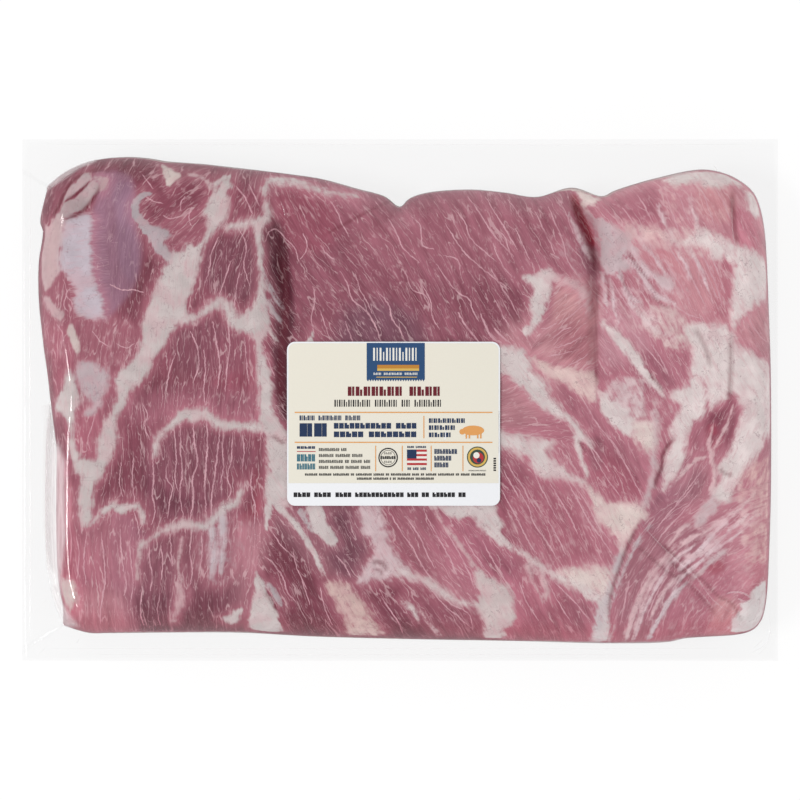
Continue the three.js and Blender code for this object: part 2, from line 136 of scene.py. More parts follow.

# ------------------------------------------------------------------ marbling of the top, listed
# Patches of fat: colour, how far their edge feathers, and the outline as x, y.
FAT_PATCHES = [
    # folded strips in the far left corner
    (BEIGE_FAT, .3, [
        (-121.5, 88.5), (-119.5, 86.5), (-121, 84.9), (-124, 81.7), (-127.5, 79), (-130.5, 77.2),
        (-131.5, 75.5), (-130, 80), (-127.5, 83.5), (-124.5, 86.5),
    ]),
    (BEIGE_FAT, .3, [
        (-120.5, 84.3), (-117.5, 84.6), (-116.7, 83), (-118.3, 80), (-121, 76.3), (-124, 73.5),
        (-127.5, 72.2), (-130, 71), (-132, 72.5), (-131.3, 75), (-130.3, 76.6), (-127.2, 78.2),
        (-124, 80.8),
    ]),
    (PINK_FAT, .8, [
        (-119.5, 87), (-115.5, 86.5), (-113.5, 85), (-114.2, 82), (-116, 80.8), (-117, 84.9),
    ]),
    (srgb(208, 176, 178), .5, [
        (-139.5, 69), (-137, 67.5), (-134.5, 70.5), (-132, 73), (-130, 70.5), (-130.5, 66),
        (-131.3, 60), (-132.3, 55), (-131.8, 50.5), (-134, 47), (-138, 42.5), (-139.8, 47),
        (-140.8, 55), (-140.6, 62),
    ]),
    (SILVER_FAT, 1.15, [
        (-131, 66), (-132, 58), (-132.3, 52), (-130.5, 50), (-128, 46.5), (-126, 42.5), (-126.5, 38),
        (-125, 34), (-122, 32), (-118, 31.3), (-115, 31.5), (-114.8, 33.5), (-116, 40), (-118.5, 45),
        (-119, 50), (-120, 58), (-120, 65), (-119.5, 70), (-121, 72), (-125, 71.5), (-129, 70.3),
    ]),
    (PINK_FAT, .4, [
        (-138.5, 40), (-136, 40), (-133, 35.5), (-130, 33), (-131.5, 31), (-134, 32), (-137, 35),
    ]),
    (srgb(198, 178, 183), 1.6, [
        (-124.5, 14.5), (-120, 15), (-117, 13), (-113.5, 11.5), (-113, 6), (-115, 1), (-116, -3),
        (-120.5, -6), (-122, -5), (-119.5, -3), (-120.5, 1), (-124, 5), (-125.5, 9),
    ]),
    (CREAM_FAT, .6, [
        (-92.5, 91.5), (-89, 89.5), (-85, 86.8), (-87.5, 84.5), (-89.7, 82.2), (-91.3, 86),
    ]),
    # the great slanting seam of the left block, from the top blob down to its foot
    (WHITE_FAT, 1, [
        (-69.5, 84), (-67, 86), (-65.5, 83), (-66.5, 80), (-66.5, 72), (-68.5, 69), (-72, 65),
        (-74.5, 62), (-76.5, 59), (-77.5, 55), (-78.5, 50), (-79.5, 46), (-81, 42), (-83, 36),
        (-82, 32.5), (-84, 31), (-86, 29), (-89, 26), (-91, 22), (-93, 19), (-95, 17), (-96.5, 13),
        (-98, 9.5), (-100, 7.5), (-102.5, 5.5), (-105, 3), (-106, 0), (-107.5, -3), (-109.5, -6.5),
        (-110.5, -10), (-109.7, -14), (-110, -18), (-111.5, -21), (-114, -25), (-115.5, -29),
        (-117.5, -31.5), (-119, -35), (-119, -42), (-120, -47), (-122, -49.5), (-123.5, -47),
        (-124, -42), (-124.5, -37), (-124, -33), (-123, -29.5), (-124.5, -28.5), (-126.5, -25),
        (-124, -22.5), (-121.5, -23), (-118.5, -23.3), (-117, -18), (-116, -11.5), (-114, -7.5),
        (-111.5, -4), (-109.5, 0), (-110, 4), (-110, 8), (-108, 11.5), (-104.5, 14.5), (-102, 17.5),
        (-100.5, 22), (-99.5, 28), (-98.5, 34), (-97, 38), (-95, 42), (-93, 47), (-91.5, 51),
        (-89.5, 53.5), (-88, 57.5), (-84.5, 57.5), (-83, 60), (-80, 60), (-75.5, 63.5), (-74.5, 67),
        (-74.5, 70.5), (-76.5, 73), (-75, 75), (-73.5, 78), (-71.5, 81),
    ]),
    (GREY_FAT, .6, [
        (-98.5, 67), (-95, 67.3), (-92, 66.5), (-89.5, 65), (-89, 63.5), (-91.5, 61), (-90, 58.5),
        (-88, 57.5), (-88.5, 53.2), (-90.5, 54.3), (-94.5, 57), (-97, 62),
    ]),
    (WHITE_FAT, 1, [
        (-128, 12), (-126.5, 9.5), (-125.5, 5), (-124, 1.5), (-125, -3), (-126, -6), (-126.5, -10),
        (-126.5, -15), (-125.5, -18), (-124, -22), (-126.5, -24.5), (-128.5, -18), (-128, -13),
        (-129, -9), (-131.5, -5.5), (-134.5, -3), (-133.5, 0), (-131, 4), (-130, 8),
    ]),
    # the knot where the slanting seam, the arch and the upright seam of the left block meet
    (WHITE_FAT, 1.2, [
        (-67, 33), (-63, 32.5), (-59, 34), (-56.5, 37), (-55, 41), (-54, 45), (-52.5, 45), (-52, 40),
        (-51, 34), (-50.5, 29), (-52, 25), (-53.5, 21), (-52, 17), (-51, 13), (-50, 8), (-49.5, 2),
        (-49, -5), (-47, -8), (-45, -11), (-43, -14), (-43, -41), (-45, -41.5), (-48, -40.5),
        (-50, -41.5), (-51, -45), (-52, -41), (-52, -35), (-51, -27), (-51.5, -20), (-51.5, -13),
        (-54, -10), (-54.5, -5), (-54.5, 2), (-55, 8), (-55, 14), (-55.5, 20), (-57, 24.5), (-60, 26),
        (-64, 27.5), (-66.5, 29.5),
    ]),
    (CREAM_FAT, 1.5, [
        (-131.5, -70), (-128, -70.5), (-126, -73), (-126.5, -79), (-128.5, -81), (-131, -79),
    ]),
    (WHITE_FAT, .8, [
        (-68.8, -84.6), (-66, -83.5), (-64.5, -81.8), (-61, -81), (-62.5, -84), (-62, -85.5),
        (-65, -86.8), (-67, -85.8),
    ]),
    # the near edge between the left block and the middle
    (WHITE_FAT, .6, [
        (-55.5, -66.5), (-54.5, -68), (-52.3, -72), (-50.5, -76), (-48.5, -80), (-47.2, -84),
        (-46.5, -93), (-52, -93), (-56, -90), (-59, -88), (-58.5, -84), (-57, -78), (-56.3, -73),
        (-56.5, -69),
    ]),
    (WHITE_FAT, .5, [
        (-36, -41), (-31, -40.5), (-29, -44.5), (-28, -48.5), (-25.5, -52), (-24, -54.5), (-25, -56.5),
        (-28, -56), (-31, -53), (-34, -50), (-35.5, -46),
    ]),
    (srgb(204, 187, 186), 1.2, [
        (29, -65), (31.5, -66), (35, -69), (38, -71), (41.5, -72), (43.5, -75), (44, -80), (44.5, -84),
        (43, -87), (40, -89), (41, -94), (34, -94), (32.5, -90), (33, -86), (31.5, -83), (30, -79),
        (31, -75), (29.5, -70),
    ]),
    (WHITE_FAT, 1, [
        (8, -40), (36, -40), (38, -45), (39.8, -49.5), (38.5, -50.3), (34.5, -49), (30, -46.5),
        (27, -45.3), (24, -46.3), (20, -45), (15, -42.5),
    ]),
    # round the label's right side
    (WHITE_FAT, 1.3, [
        (37, 21), (43, 20.5), (48, 19.5), (50.5, 15), (51, 12), (54, 9), (57, 6), (58, 2), (60, -1),
        (63, -3.5), (66, -7), (69, -10), (72, -14), (74.5, -18.5), (72.5, -18), (70.5, -16), (69, -15),
        (67, -11.5), (65, -9), (62, -7), (58, -5), (54, -2.5), (51, 0), (49, 3), (46, 5.5), (43, 9),
        (37, 11.5),
    ]),
    (WHITE_FAT, 1.8, [
        (37, -12.5), (44, -13.5), (50, -14.5), (56, -15), (60, -16), (58, -18.5), (57, -21), (60, -23),
        (63, -26), (66, -28.5), (70, -30), (73, -33), (69, -32.5), (64, -31), (59, -31), (55, -30),
        (52, -26), (50, -22.5), (46, -21.5), (43, -19.5), (37, -17.5),
    ]),
    (WHITE_FAT, 1, [
        (47.5, 47.5), (50, 48.5), (52, 48), (54.5, 50), (58.5, 50.5), (61, 47.5), (58.5, 45),
        (58.5, 42), (57, 38), (55.5, 33), (54, 29.5), (51, 26), (49, 24.5), (47.5, 27), (50, 29),
        (51, 33), (50.5, 38), (52, 42), (50.5, 45),
    ]),
    (srgb(217, 189, 185), 1.4, [
        (52, 16.5), (56, 14.5), (60, 13), (66, 12), (72, 11), (75, 11), (76, 8), (76, 3), (75.5, 0),
        (71, 1), (66, 5), (61, 8), (57, 9.5), (54, 12),
    ]),
    (WHITE_FAT, .9, [
        (77.3, 3.5), (80, 3.5), (81.8, 0.5), (84.5, -1.5), (88, -3), (90, -6), (91, -9), (90.5, -13.5),
        (88, -13.3), (85, -11.8), (82, -9.3), (79.5, -6.2), (77.8, -2.5),
    ]),
    (CREAM_FAT, 1.9, [
        (89.5, -8.5), (93, -7.5), (96, -8), (98.5, -9), (99.2, -14), (98.7, -19.5), (95.5, -20.3),
        (93, -17), (90.5, -14),
    ]),
    (CREAM_FAT, 1.7, [
        (71.5, -31.5), (75, -35), (78, -38), (82, -39.8), (88, -40), (91, -40), (94, -41.5),
        (96.5, -44.5), (96, -46.5), (93, -47), (91, -50), (88.5, -55), (86.3, -59.5), (85, -57),
        (84, -53), (81, -50), (78, -48), (75.5, -45), (74.5, -41), (73, -36),
    ]),
    (CREAM_FAT, 2.2, [
        (60, -66), (66, -65), (72, -64.5), (79, -65), (83.5, -67), (82, -72), (80, -77), (76, -76),
        (70, -73.5), (65, -71),
    ]),
    (WHITE_FAT, 1.7, [
        (76, -77), (80, -77.5), (81.2, -82), (81, -95), (75, -95), (75.5, -88), (77, -84),
    ]),
    (WHITE_FAT, 1.6, [
        (105, 2.5), (107, 4), (110.5, 5.5), (113, 9), (116, 9.5), (118.3, 6), (119, 2), (118.5, -2.5),
        (117.5, -6), (114, -8.7), (111, -13), (110.5, -19), (109.5, -26), (106, -30.5), (102.3, -34.8),
        (102.3, -29), (102.7, -24), (104.5, -18), (106.3, -14.5), (104.5, -12), (106, -8), (108.5, -3),
        (106, 0),
    ]),
    # the great white field at the right
    (WHITE_FAT, 1.6, [
        (108.5, 29), (113, 30), (120, 29.3), (126, 28.5), (129, 25), (131, 21.5), (136, 19),
        (140, 15.5), (148, 15), (148, -14), (145, -15.5), (142, -14), (141, -17), (139, -21),
        (136, -24.5), (133, -29), (131, -33), (129, -36), (127.5, -40.5), (124, -40), (121, -37),
        (124, -31), (123, -27), (124, -25), (127, -21), (129, -17), (130.3, -13), (132, -8),
        (132.8, -4), (131.5, -1), (129, 3), (127.5, 3), (126, 0), (123, -1), (120.5, -3), (119, 1),
        (117.5, 6), (115, 9), (112.5, 9.5), (113, 14), (113.4, 17.5), (111.5, 22), (109.6, 26),
    ]),
    (WHITE_FAT, 1.7, [
        (130, 60), (134, 58.5), (139, 56.5), (148, 52), (148, 43), (141, 38.5), (136, 35), (132, 31.5),
        (129.5, 28), (128, 31), (128.3, 38), (128.8, 46), (129.5, 53),
    ]),
    (WHITE_FAT, 2.2, [
        (103.5, 62.5), (107, 61), (111, 62.5), (114.5, 66.5), (118.5, 66.5), (122, 64.5), (126, 62),
        (130, 60.5), (131, 55), (129.7, 50), (128.5, 53), (125, 55), (121.5, 54.5), (119, 58),
        (115, 59.3), (110, 59.5), (106, 59.5),
    ]),
    (WHITE_FAT, 1.4, [(134.8, 81.5), (139, 81), (142, 73), (139.5, 71.3), (136, 72.5), (134.3, 77)]),
    (srgb(206, 194, 192), 1.7, [
        (103, 85), (107, 83), (110, 83.4), (114, 83.8), (119, 82.6), (124, 82.2), (129, 83.5),
        (133, 83.4), (134, 87), (131, 92), (118, 94), (104, 90),
    ]),
    # the lips of the open fold
    (srgb(186, 166, 170), 1, [
        (72.3, 74), (75, 71.7), (77.5, 70.8), (81, 69.3), (84, 66.8), (88, 65.3), (88.5, 60),
        (87, 55.5), (88.8, 51.5), (85, 49.5), (80.5, 48.8), (78.7, 50.5), (77.5, 55), (77.3, 60),
        (76, 66),
    ]),
    (CREAM_FAT, .9, [
        (67.5, 84), (70, 83), (76, 81), (80.5, 80), (77, 77.5), (74, 75.5), (71.8, 74.5), (70, 78),
        (68.7, 81),
    ]),
    (LILAC_FAT, 1, [
        (89.5, 60.5), (91.5, 58), (94, 53.5), (97.5, 50), (101.5, 48.5), (105, 46.7), (106, 43.5),
        (104.5, 41), (101.5, 43.5), (98, 46.5), (94, 49.5), (91, 54.5), (88.8, 59),
    ]),
    # strips near the right corner
    (LILAC_FAT, 1.2, [
        (122.5, -39), (124, -41), (121, -44.5), (118, -48), (115, -49.5), (113.3, -47.7), (116, -43),
        (118.5, -39.5), (121, -37),
    ]),
    (srgb(205, 195, 195), .5, [
        (139.5, -72.1), (148, -68), (148, -81), (141, -94), (131.6, -94), (128.7, -90.6),
        (128.9, -85.1), (130.2, -83.5), (132.2, -81), (132.2, -78.9), (135.7, -77.2), (136.3, -74.3),
    ]),
]

# Places where thin fat and lean lie in streaks: colour, feather, how much is fat (0 is half), outline.
STREAKY_FAT = [
    (srgb(214, 190, 194), 1.1, 1, [
        (-14.6, -40), (-9, -40), (-7, -45), (-5.2, -50), (-3.4, -56), (-1, -61), (3, -65), (4, -69),
        (0, -68.5), (-5, -69), (-10, -69.5), (-13, -71), (-16.4, -71), (-14.4, -67), (-12, -63),
        (-10, -59), (-10, -56), (-12, -53), (-14.4, -50),
    ]),
    (srgb(214, 184, 178), 1.2, .8, [
        (-27.5, -71), (-23, -71.5), (-19.5, -72.5), (-18, -75), (-14.5, -79), (-11.5, -83), (-9, -88),
        (-7.5, -94), (-18.5, -94), (-20.5, -86), (-23, -81), (-26, -76), (-27.8, -73),
    ]),
    (srgb(218, 184, 176), 1.3, -.2, [
        (133, -30), (138, -26), (147, -23), (147, -60), (136, -62), (133, -50),
    ]),
    (srgb(218, 184, 182), 2, .7, [
        (87, 68.5), (95, 67), (103, 65.5), (108, 63), (106, 59), (98, 60.5), (88, 63),
    ]),
    (srgb(216, 178, 176), 1.5, -1.1, [(104, 84), (126, 84), (126, 70), (112, 68), (104, 74)]),
    (PINK_FAT, 1.6, -0.8, [
        (79, 62), (88, 63), (98, 57), (106, 48), (110, 40), (108, 30), (97, 28), (86, 28), (79, 31),
        (78, 45),
    ]),
    (CREAM_FAT, 1.2, -.1, [(101, 63.5), (108, 66), (118, 64), (118, 57.5), (108, 58)]),
    (CREAM_FAT, 1.2, 0, [(100, 29), (112, 29.5), (113, 21.5), (104, 21)]),
    (CREAM_FAT, 1.4, .1, [(92, 36), (98, 36), (106, 35), (110, 30), (108, 23), (100, 24), (95, 29)]),
    (srgb(208, 188, 190), 1.2, 0.4, [(80, 5), (86, 8), (93, 7), (93.5, -7), (90, -7), (84, -1)]),
    (srgb(204, 180, 182), 1.2, -0.8, [(92, 7), (96, 6), (103, 2), (104, -5), (99, -8), (93, -7)]),
    (PINK_FAT, 1.4, -1.7, [
        (-91, 66), (-86, 69.4), (-80, 70.6), (-75, 68.5), (-75, 63), (-79, 59.6), (-85, 57.6),
        (-90, 60),
    ]),
    (PINK_FAT, 1.3, -1.4, [
        (-136, 36), (-126, 38), (-117, 32), (-106, 27), (-101, 21), (-106, 16), (-118, 17), (-130, 18),
        (-137, 26),
    ]),
    (PINK_FAT, 1.3, -1.3, [(-132, 49), (-126, 46), (-124, 36), (-131, 32), (-136, 37), (-134, 43)]),
    (PINK_FAT, 1.3, -1.6, [
        (-124, -5), (-117, -5), (-114.5, -9), (-118, -21), (-124, -20), (-126, -13),
    ]),
    (LILAC_FAT, 1.3, -1.5, [
        (98, -47), (106, -40), (118, -50), (131, -52), (132, -64), (116, -74), (104, -94), (84, -94),
        (85, -80), (90, -60),
    ]),
    (PINK_FAT, 1.4, -1.2, [(126, -41), (136, -33), (147, -34), (147, -68), (133, -66), (122, -56)]),
    (PINK_FAT, 1.4, -1.4, [(108, -74), (120, -70), (131, -76), (131, -92), (112, -95), (102, -94)]),
    (LILAC_FAT, 1.5, -1.1, [(-75, -46), (-66, -43), (-63, -52), (-65, -64), (-70, -70), (-76, -68)]),
    (PINK_FAT, 1, -3, [
        (-94, -12), (-84, -4), (-70, -8), (-56, -11), (-60, -24), (-72, -34), (-88, -30), (-95, -24),
    ]),
    (PINK_FAT, 1, -3, [(-98, -54), (-84, -47), (-70, -46), (-70, -66), (-86, -70), (-97, -68)]),
    (PINK_FAT, 1, -2.6, [(-120, -46), (-110, -41), (-99, -42), (-99, -62), (-112, -66), (-120, -60)]),
    (PINK_FAT, 1, -3, [(-72, 72), (-54, 72), (-54, 56), (-62, 46), (-76, 42), (-77, 58)]),
    (PINK_FAT, 1, -3, [
        (-90, 32), (-80, 33), (-70, 38), (-62, 32), (-58, 22), (-70, 12), (-84, 10), (-92, 18),
    ]),
    (PINK_FAT, 1.5, -1.5, [
        (59, -32), (72, -32), (80, -46), (86, -58), (84, -66), (66, -66), (52, -58), (44, -44),
        (50, -36),
    ]),
    (PINK_FAT, 1.5, -2, [(-4, -44), (10, -44), (28, -66), (30, -78), (14, -76), (2, -66)]),
    (PINK_FAT, 1, -2.4, [(84, 80), (102, 85), (128, 84), (128, 64), (104, 64), (92, 66), (80, 72)]),
    (PINK_FAT, 1.5, -1.6, [(104, 59), (118, 57), (127, 50), (128, 32), (110, 31), (106, 46)]),
    (PINK_FAT, .8, -2.8, [
        (77, 10), (84, 20), (96, 8), (104, 1), (108, 8), (106, 22), (92, 26), (82, 30),
    ]),
    (LILAC_FAT, 1.4, -1.2, [(64, 60), (72, 60), (77, 50), (79, 38), (75, 34), (70, 46), (64, 50)]),
    (PINK_FAT, 1.3, -1.6, [(52, -14), (64, -8), (74, -20), (90, -40), (78, -38), (66, -30), (58, -22)]),
    (PINK_FAT, 1.3, -2.1, [(8, -70), (16, -74), (27, -80), (28, -93), (20, -93), (14, -82), (4, -76)]),
]

# Seams of fat: colour, feather, and a centreline as x, y, width.
FAT_SEAMS = [
    # hook of sinew in the round muscle at the far left
    (GREY_FAT, .3, [
        (-96.5, 79.8, 1), (-99, 79.6, 1.8), (-101.5, 78, 2.4), (-102.9, 75.5, 2.8), (-102.3, 72, 3),
        (-100.3, 69, 3.6), (-98, 66, 4.4),
    ]),
    (CREAM_FAT, .4, [(-127.8, 28, 2.2), (-127.2, 25.5, 3.8), (-126.2, 22.5, 3), (-125, 19, 1.2)]),
    (PINK_FAT, .5, [
        (-82.5, 88, .8), (-79.5, 87, 1.4), (-76, 86, 1.3), (-74, 83.5, 1.3), (-73, 81.5, 1.2),
    ]),
    (WHITE_FAT, .5, [(-71.5, 84, 2), (-69, 85.5, 2), (-66.5, 86.8, 1.2)]),
    # arch from the slanting seam to the knot
    (WHITE_FAT, 1.6, [
        (-84, 31, 3.5), (-79.5, 32, 2.4), (-76, 34, 2.2), (-72.5, 36.8, 2.6), (-69.3, 38, 3.4),
        (-67, 35.5, 4), (-65, 32, 4),
    ]),
    # the upright seam of the left block and its upper branches
    (WHITE_FAT, .8, [
        (-54, 33, 6), (-53.8, 40, 3), (-53.4, 46, 1.8), (-53.8, 52, 1.8), (-54, 58, 2),
        (-54.8, 63, 2.4), (-55, 67.5, 3.5),
    ]),
    (WHITE_FAT, 1.4, [
        (-66.5, 66.8, 2), (-62, 67.8, 2.6), (-58, 68.7, 3.4), (-54, 69, 4), (-51.6, 70.5, 2.6),
        (-51.2, 74, 2.2), (-52, 78.5, 1.4), (-52.4, 82.5, 1.5), (-50.8, 85.2, 2.2), (-46, 85.6, 3.2),
        (-40.5, 85, 2.8), (-36, 83.3, 2.4), (-31, 81.3, 1.6), (-24, 80.2, 1.2), (-17, 79.6, .9),
    ]),
    (WHITE_FAT, 1.2, [
        (-95.2, -22, .9), (-94.6, -17, 1.8), (-92, -12.8, 2), (-89, -10, 2.2), (-86, -7.3, 2.8),
        (-83, -5.8, 3.8), (-79, -6.2, 5), (-75.5, -5, 3.4), (-72.5, -7.2, 3), (-70, -9.6, 3),
        (-66, -9.8, 3), (-60, -10.3, 2.8), (-55, -10.3, 3.6), (-51, -10, 4),
    ]),
    (WHITE_FAT, .9, [
        (-119.7, -48, .8), (-117, -45.3, 1), (-114.2, -42.6, 1.8), (-111, -41, 2.2), (-108, -42.4, 3.4),
        (-104.5, -41.4, 2.6), (-101.5, -41, 2), (-99.9, -43.6, 1.6), (-99.9, -47.5, .9),
    ]),
    (WHITE_FAT, 1.2, [
        (-100.2, -56.2, 3), (-97, -54.5, 1.6), (-93.5, -51.5, 1.8), (-88.5, -49.6, 2.4),
        (-83, -48.2, 3), (-79, -48.6, 3), (-74.5, -48.8, 3), (-71, -45, 3), (-68, -42, 3.4),
        (-64.5, -40.5, 2.6), (-62.4, -37, 1.5), (-60.5, -33, .9),
    ]),
    (PINK_FAT, .6, [(-101, -57.5, 1.6), (-100.6, -61.5, 1.4), (-102, -64.5, 1), (-101.6, -69, .9)]),
    (srgb(204, 188, 194), 1, [(-73, -50, 3.2), (-72.3, -57, 2.4), (-72.6, -63, 3), (-73.4, -69, 1.2)]),
    (srgb(204, 188, 194), 1, [
        (-69, -46, 3.8), (-68.6, -54, 2.4), (-69.3, -61, 2.8), (-69.8, -67, 1.2),
    ]),
    (PINK_FAT, 1.4, [(-85.3, -71.5, 2.4), (-84.6, -76, 3), (-86.4, -80.5, 1.6), (-88, -85, .8)]),
    (PINK_FAT, .6, [(-84, -53, .7), (-85.6, -60, .8), (-86, -66, .8), (-84.6, -70.5, 1)]),
    # strands in the valley beside the left block
    (GREY_FAT, .5, [
        (-52.6, 49, .8), (-51.2, 45.5, 1.2), (-49.6, 42, 1.4), (-47.6, 38.6, 1.4), (-45, 35.6, .9),
    ]),
    (GREY_FAT, .4, [(-51, 38.3, 1.6), (-49.6, 35, 2.2), (-47.8, 32.4, 1.5), (-46, 30, .8)]),
    (WHITE_FAT, .4, [(-51.5, 28, 1.8), (-49.6, 25, 1.4), (-47.6, 22.4, .8)]),
    (WHITE_FAT, .4, [(-35.6, 21, 4), (-34.2, 24.5, 1.6), (-33.8, 26.5, .8)]),
    # the near edge, from the label's left corner
    (WHITE_FAT, .5, [
        (-49, -38, 5), (-45, -43.2, 2.6), (-41, -47.5, 2.4), (-38, -52, 2.2), (-35, -56.2, 2.2),
        (-33, -60, 1.8), (-31.3, -64, 1.5), (-29.4, -67.5, .8),
    ]),
    (WHITE_FAT, .5, [(-51, -42, 3), (-51.4, -46, 1.4), (-51.6, -50, .8)]),
    (GREY_FAT, .4, [(-38.8, -43.5, 2), (-36.6, -46.4, 1.6), (-35, -50.5, .8)]),
    (GREY_FAT, .5, [(-50.8, -71.6, 1.5), (-48.6, -75, 2.5), (-46, -79.3, 1.4)]),
    (WHITE_FAT, 1.8, [
        (0, -66, 4), (5, -68.4, 3.4), (10, -70.3, 3), (15, -73.6, 3), (20, -77, 2.6), (25, -78.8, 2),
        (31, -79.5, 2.4),
    ]),
    (WHITE_FAT, .6, [(36, -47, 4), (38, -52, 2.6), (40.5, -55.3, 2)]),
    (WHITE_FAT, 1, [
        (31, -48, 1.6), (35, -51.3, 2), (39, -54.7, 2.2), (43, -57.2, 2), (48, -59.7, 2.2),
        (52, -62.6, 2.2), (56, -65.6, 2.4), (61, -68, 3.2), (66, -70, 4), (71, -72, 6), (76, -76, 5),
    ]),
    (PINK_FAT, .8, [(49.3, -60.5, 2), (50, -66, 1.8), (52.3, -72, 1.3), (55.5, -77.5, .9)]),
    (PINK_FAT, .8, [(53, -63.5, 2), (55.4, -69, 2.6), (57, -76.5, 1.4)]),
    (WHITE_FAT, .6, [(1, -78, 1), (3.6, -80.2, 1.8), (5.6, -82.2, 1.4), (6.8, -85, .8)]),
    (PINK_FAT, .5, [(7.6, -80.5, .9), (10.5, -85.5, 1), (13, -88.6, 1.2), (15.4, -92.5, 1)]),
    (PINK_FAT, .6, [
        (14, -44, .8), (17, -48.5, 1.1), (21, -53.4, 1.3), (25, -58.6, 1.3), (28.6, -64, 1.6),
    ]),
    # right of the label
    (WHITE_FAT, .7, [(68.4, -15, 1.6), (69.7, -20, 2), (71, -25, 1.8), (72.5, -29, 1)]),
    (PINK_FAT, 1.6, [
        (60.5, 46.8, 2.2), (66, 45.5, 3), (70.5, 43, 3.4), (73, 39.5, 3), (73.6, 34, 1.6),
    ]),
    (LILAC_FAT, .5, [(66, 71.5, .8), (69, 65.5, 1.4), (72, 60, 1.4), (75, 54.3, .9)]),
    (LILAC_FAT, 1.2, [
        (98.6, -5, 2.6), (98.8, -13, 2.8), (98.2, -21, 2.4), (97.9, -30, 2.4), (96.3, -36.5, 2.6),
        (94.5, -41, 2.4),
    ]),
    (WHITE_FAT, .7, [
        (79, 29.5, 2.2), (83, 25.5, 3.4), (88, 20, 4.4), (92, 14.6, 3.8), (96, 9, 3), (100, 4.6, 2.4),
        (102.3, 2, 1.2),
    ]),
    (GREY_FAT, .9, [
        (85.8, -58.5, 2), (84.4, -63, 2.6), (82.4, -68, 3.4), (80.4, -74, 4), (79, -80, 5),
        (78.2, -86, 5.4), (77.6, -94, 5.6),
    ]),
    (GREY_FAT, .4, [
        (97, -48.7, 1.3), (93.3, -53, 1.2), (90.3, -58.6, 1), (87.2, -65, 1), (84.4, -71.6, 1),
        (82.8, -78, .8),
    ]),
    (STRAND_FAT, .4, [
        (82.4, 54, 1.4), (84.8, 49.4, 1.8), (87.2, 42.6, 1.5), (91.1, 34.9, 1.8), (95, 31, 2),
        (100.8, 26.2, 1.8), (106, 24, 1.2),
    ]),
    (STRAND_FAT, .4, [(80.4, 51.4, 1.2), (82.4, 42.6, 1.5), (82.8, 36, 1.2), (84.6, 30, .9)]),
    (STRAND_FAT, .5, [
        (85.6, 59, 1.4), (88.4, 54.6, 2), (93, 49.4, 2.2), (96.9, 42.6, 2.2), (102.7, 38.8, 2),
        (106.6, 37.4, 1.2),
    ]),
    (STRAND_FAT, .5, [
        (88.2, 64, 1.2), (91, 56.6, 1.6), (95.9, 49.4, 2), (101.7, 45, 1.8), (105.4, 41.6, 1.2),
    ]),
    (STRAND_FAT, .4, [
        (92, 66, .8), (94.5, 60, 1.2), (98.6, 55, 1.2), (103, 49.5, 1), (106.4, 45.4, .8),
    ]),
    (STRAND_FAT, .4, [(84.6, 48, .8), (88.6, 41, 1.2), (94.4, 36, 1.2), (99.6, 31, .8)]),
    (STRAND_FAT, .5, [(104.6, 66, 1), (106.6, 59.5, 1.2), (110.4, 52, 1), (112.6, 46, .8)]),
    (STRAND_FAT, .5, [(112, 78, .7), (114.6, 70, 1.2), (117, 64, 1.2)]),
    (STRAND_FAT, .5, [(100, 76, .7), (102.6, 68, 1.1), (105, 62, 1.1)]),
    (STRAND_FAT, .5, [(112, 58, .9), (116.4, 50.5, 1), (119.4, 43, .8)]),
    (STRAND_FAT, .3, [(78.2, 49.8, .8), (79.4, 42.8, 1.2), (80.1, 34.2, .8)]),
    (STRAND_FAT, .3, [(65.4, 72.4, .6), (69.4, 63, 1.2), (74, 54.4, .8)]),
    # pale streaks of the fan in the near right corner
    (STRAND_FAT, .5, [(134.7, -39.7, 1), (124, -49.4, 1.8), (116.3, -58.1, 2.4), (108.5, -65.9, 1.6)]),
    (STRAND_FAT, .4, [
        (134.7, -44.6, 1), (126, -52.3, 1.4), (117.2, -62, 1.6), (108.5, -69.8, 1.2),
        (102.7, -81.4, 1.2), (96.9, -92.1, .8),
    ]),
    (STRAND_FAT, .4, [
        (114.3, -56.2, .8), (106.6, -62, 1.2), (99.8, -71.7, 1.3), (94, -83.3, 1.2), (91, -93, .8),
    ]),
    (STRAND_FAT, .4, [(137.6, -44, .8), (130, -53, 1.2), (122.4, -57.6, 1.2), (116, -61, .8)]),
    (PINK_FAT, .6, [
        (107, -56.5, .8), (103.5, -60.5, 1.4), (99, -65.5, 2), (94.5, -73, 2), (91.3, -81, 2.2),
        (89, -88, 2.4), (88, -94, 2),
    ]),
    (PINK_FAT, .6, [
        (113.5, -52, .8), (108.5, -56, 1.2), (103.5, -63, 1), (98.5, -70, 1.2), (94.6, -79, 1.2),
        (91.5, -88, 1.3), (90.5, -94, 1),
    ]),
    (GREY_FAT, .4, [
        (112, -70.5, 1.3), (108.5, -73.2, 2.1), (104.5, -78, 2), (101, -84, 1.8), (98.3, -89, 1.7),
        (96.6, -94, 1.6),
    ]),
    (PINK_FAT, .4, [(108, -68, .7), (103.5, -73, 1.1), (99.6, -79, 1), (97, -85, .9)]),
    (LILAC_FAT, .4, [(126, -58.6, 1.6), (121.5, -61.8, 2), (117, -66, 1.8), (113, -69.4, 1)]),
    (PINK_FAT, .5, [
        (133.5, -46.5, 1), (128, -50.5, 1.2), (122.5, -54.8, 1.6), (117.5, -59, 2.2), (111.5, -61, 2),
    ]),
    (PINK_FAT, .5, [
        (131, -42, 1.4), (125, -46.6, 1.6), (119, -50.6, 1.8), (113, -53.6, 1.6), (107, -58, .9),
    ]),
    (PINK_FAT, .6, [(137.5, -36, 1.4), (133, -41, 1.6), (128, -45.8, 1.2), (122, -50.4, 1)]),
    (PINK_FAT, .4, [(118.5, -22, .8), (114.5, -23.6, 1.2), (110, -28, 1), (104.8, -33.5, .8)]),
    (PINK_FAT, .6, [
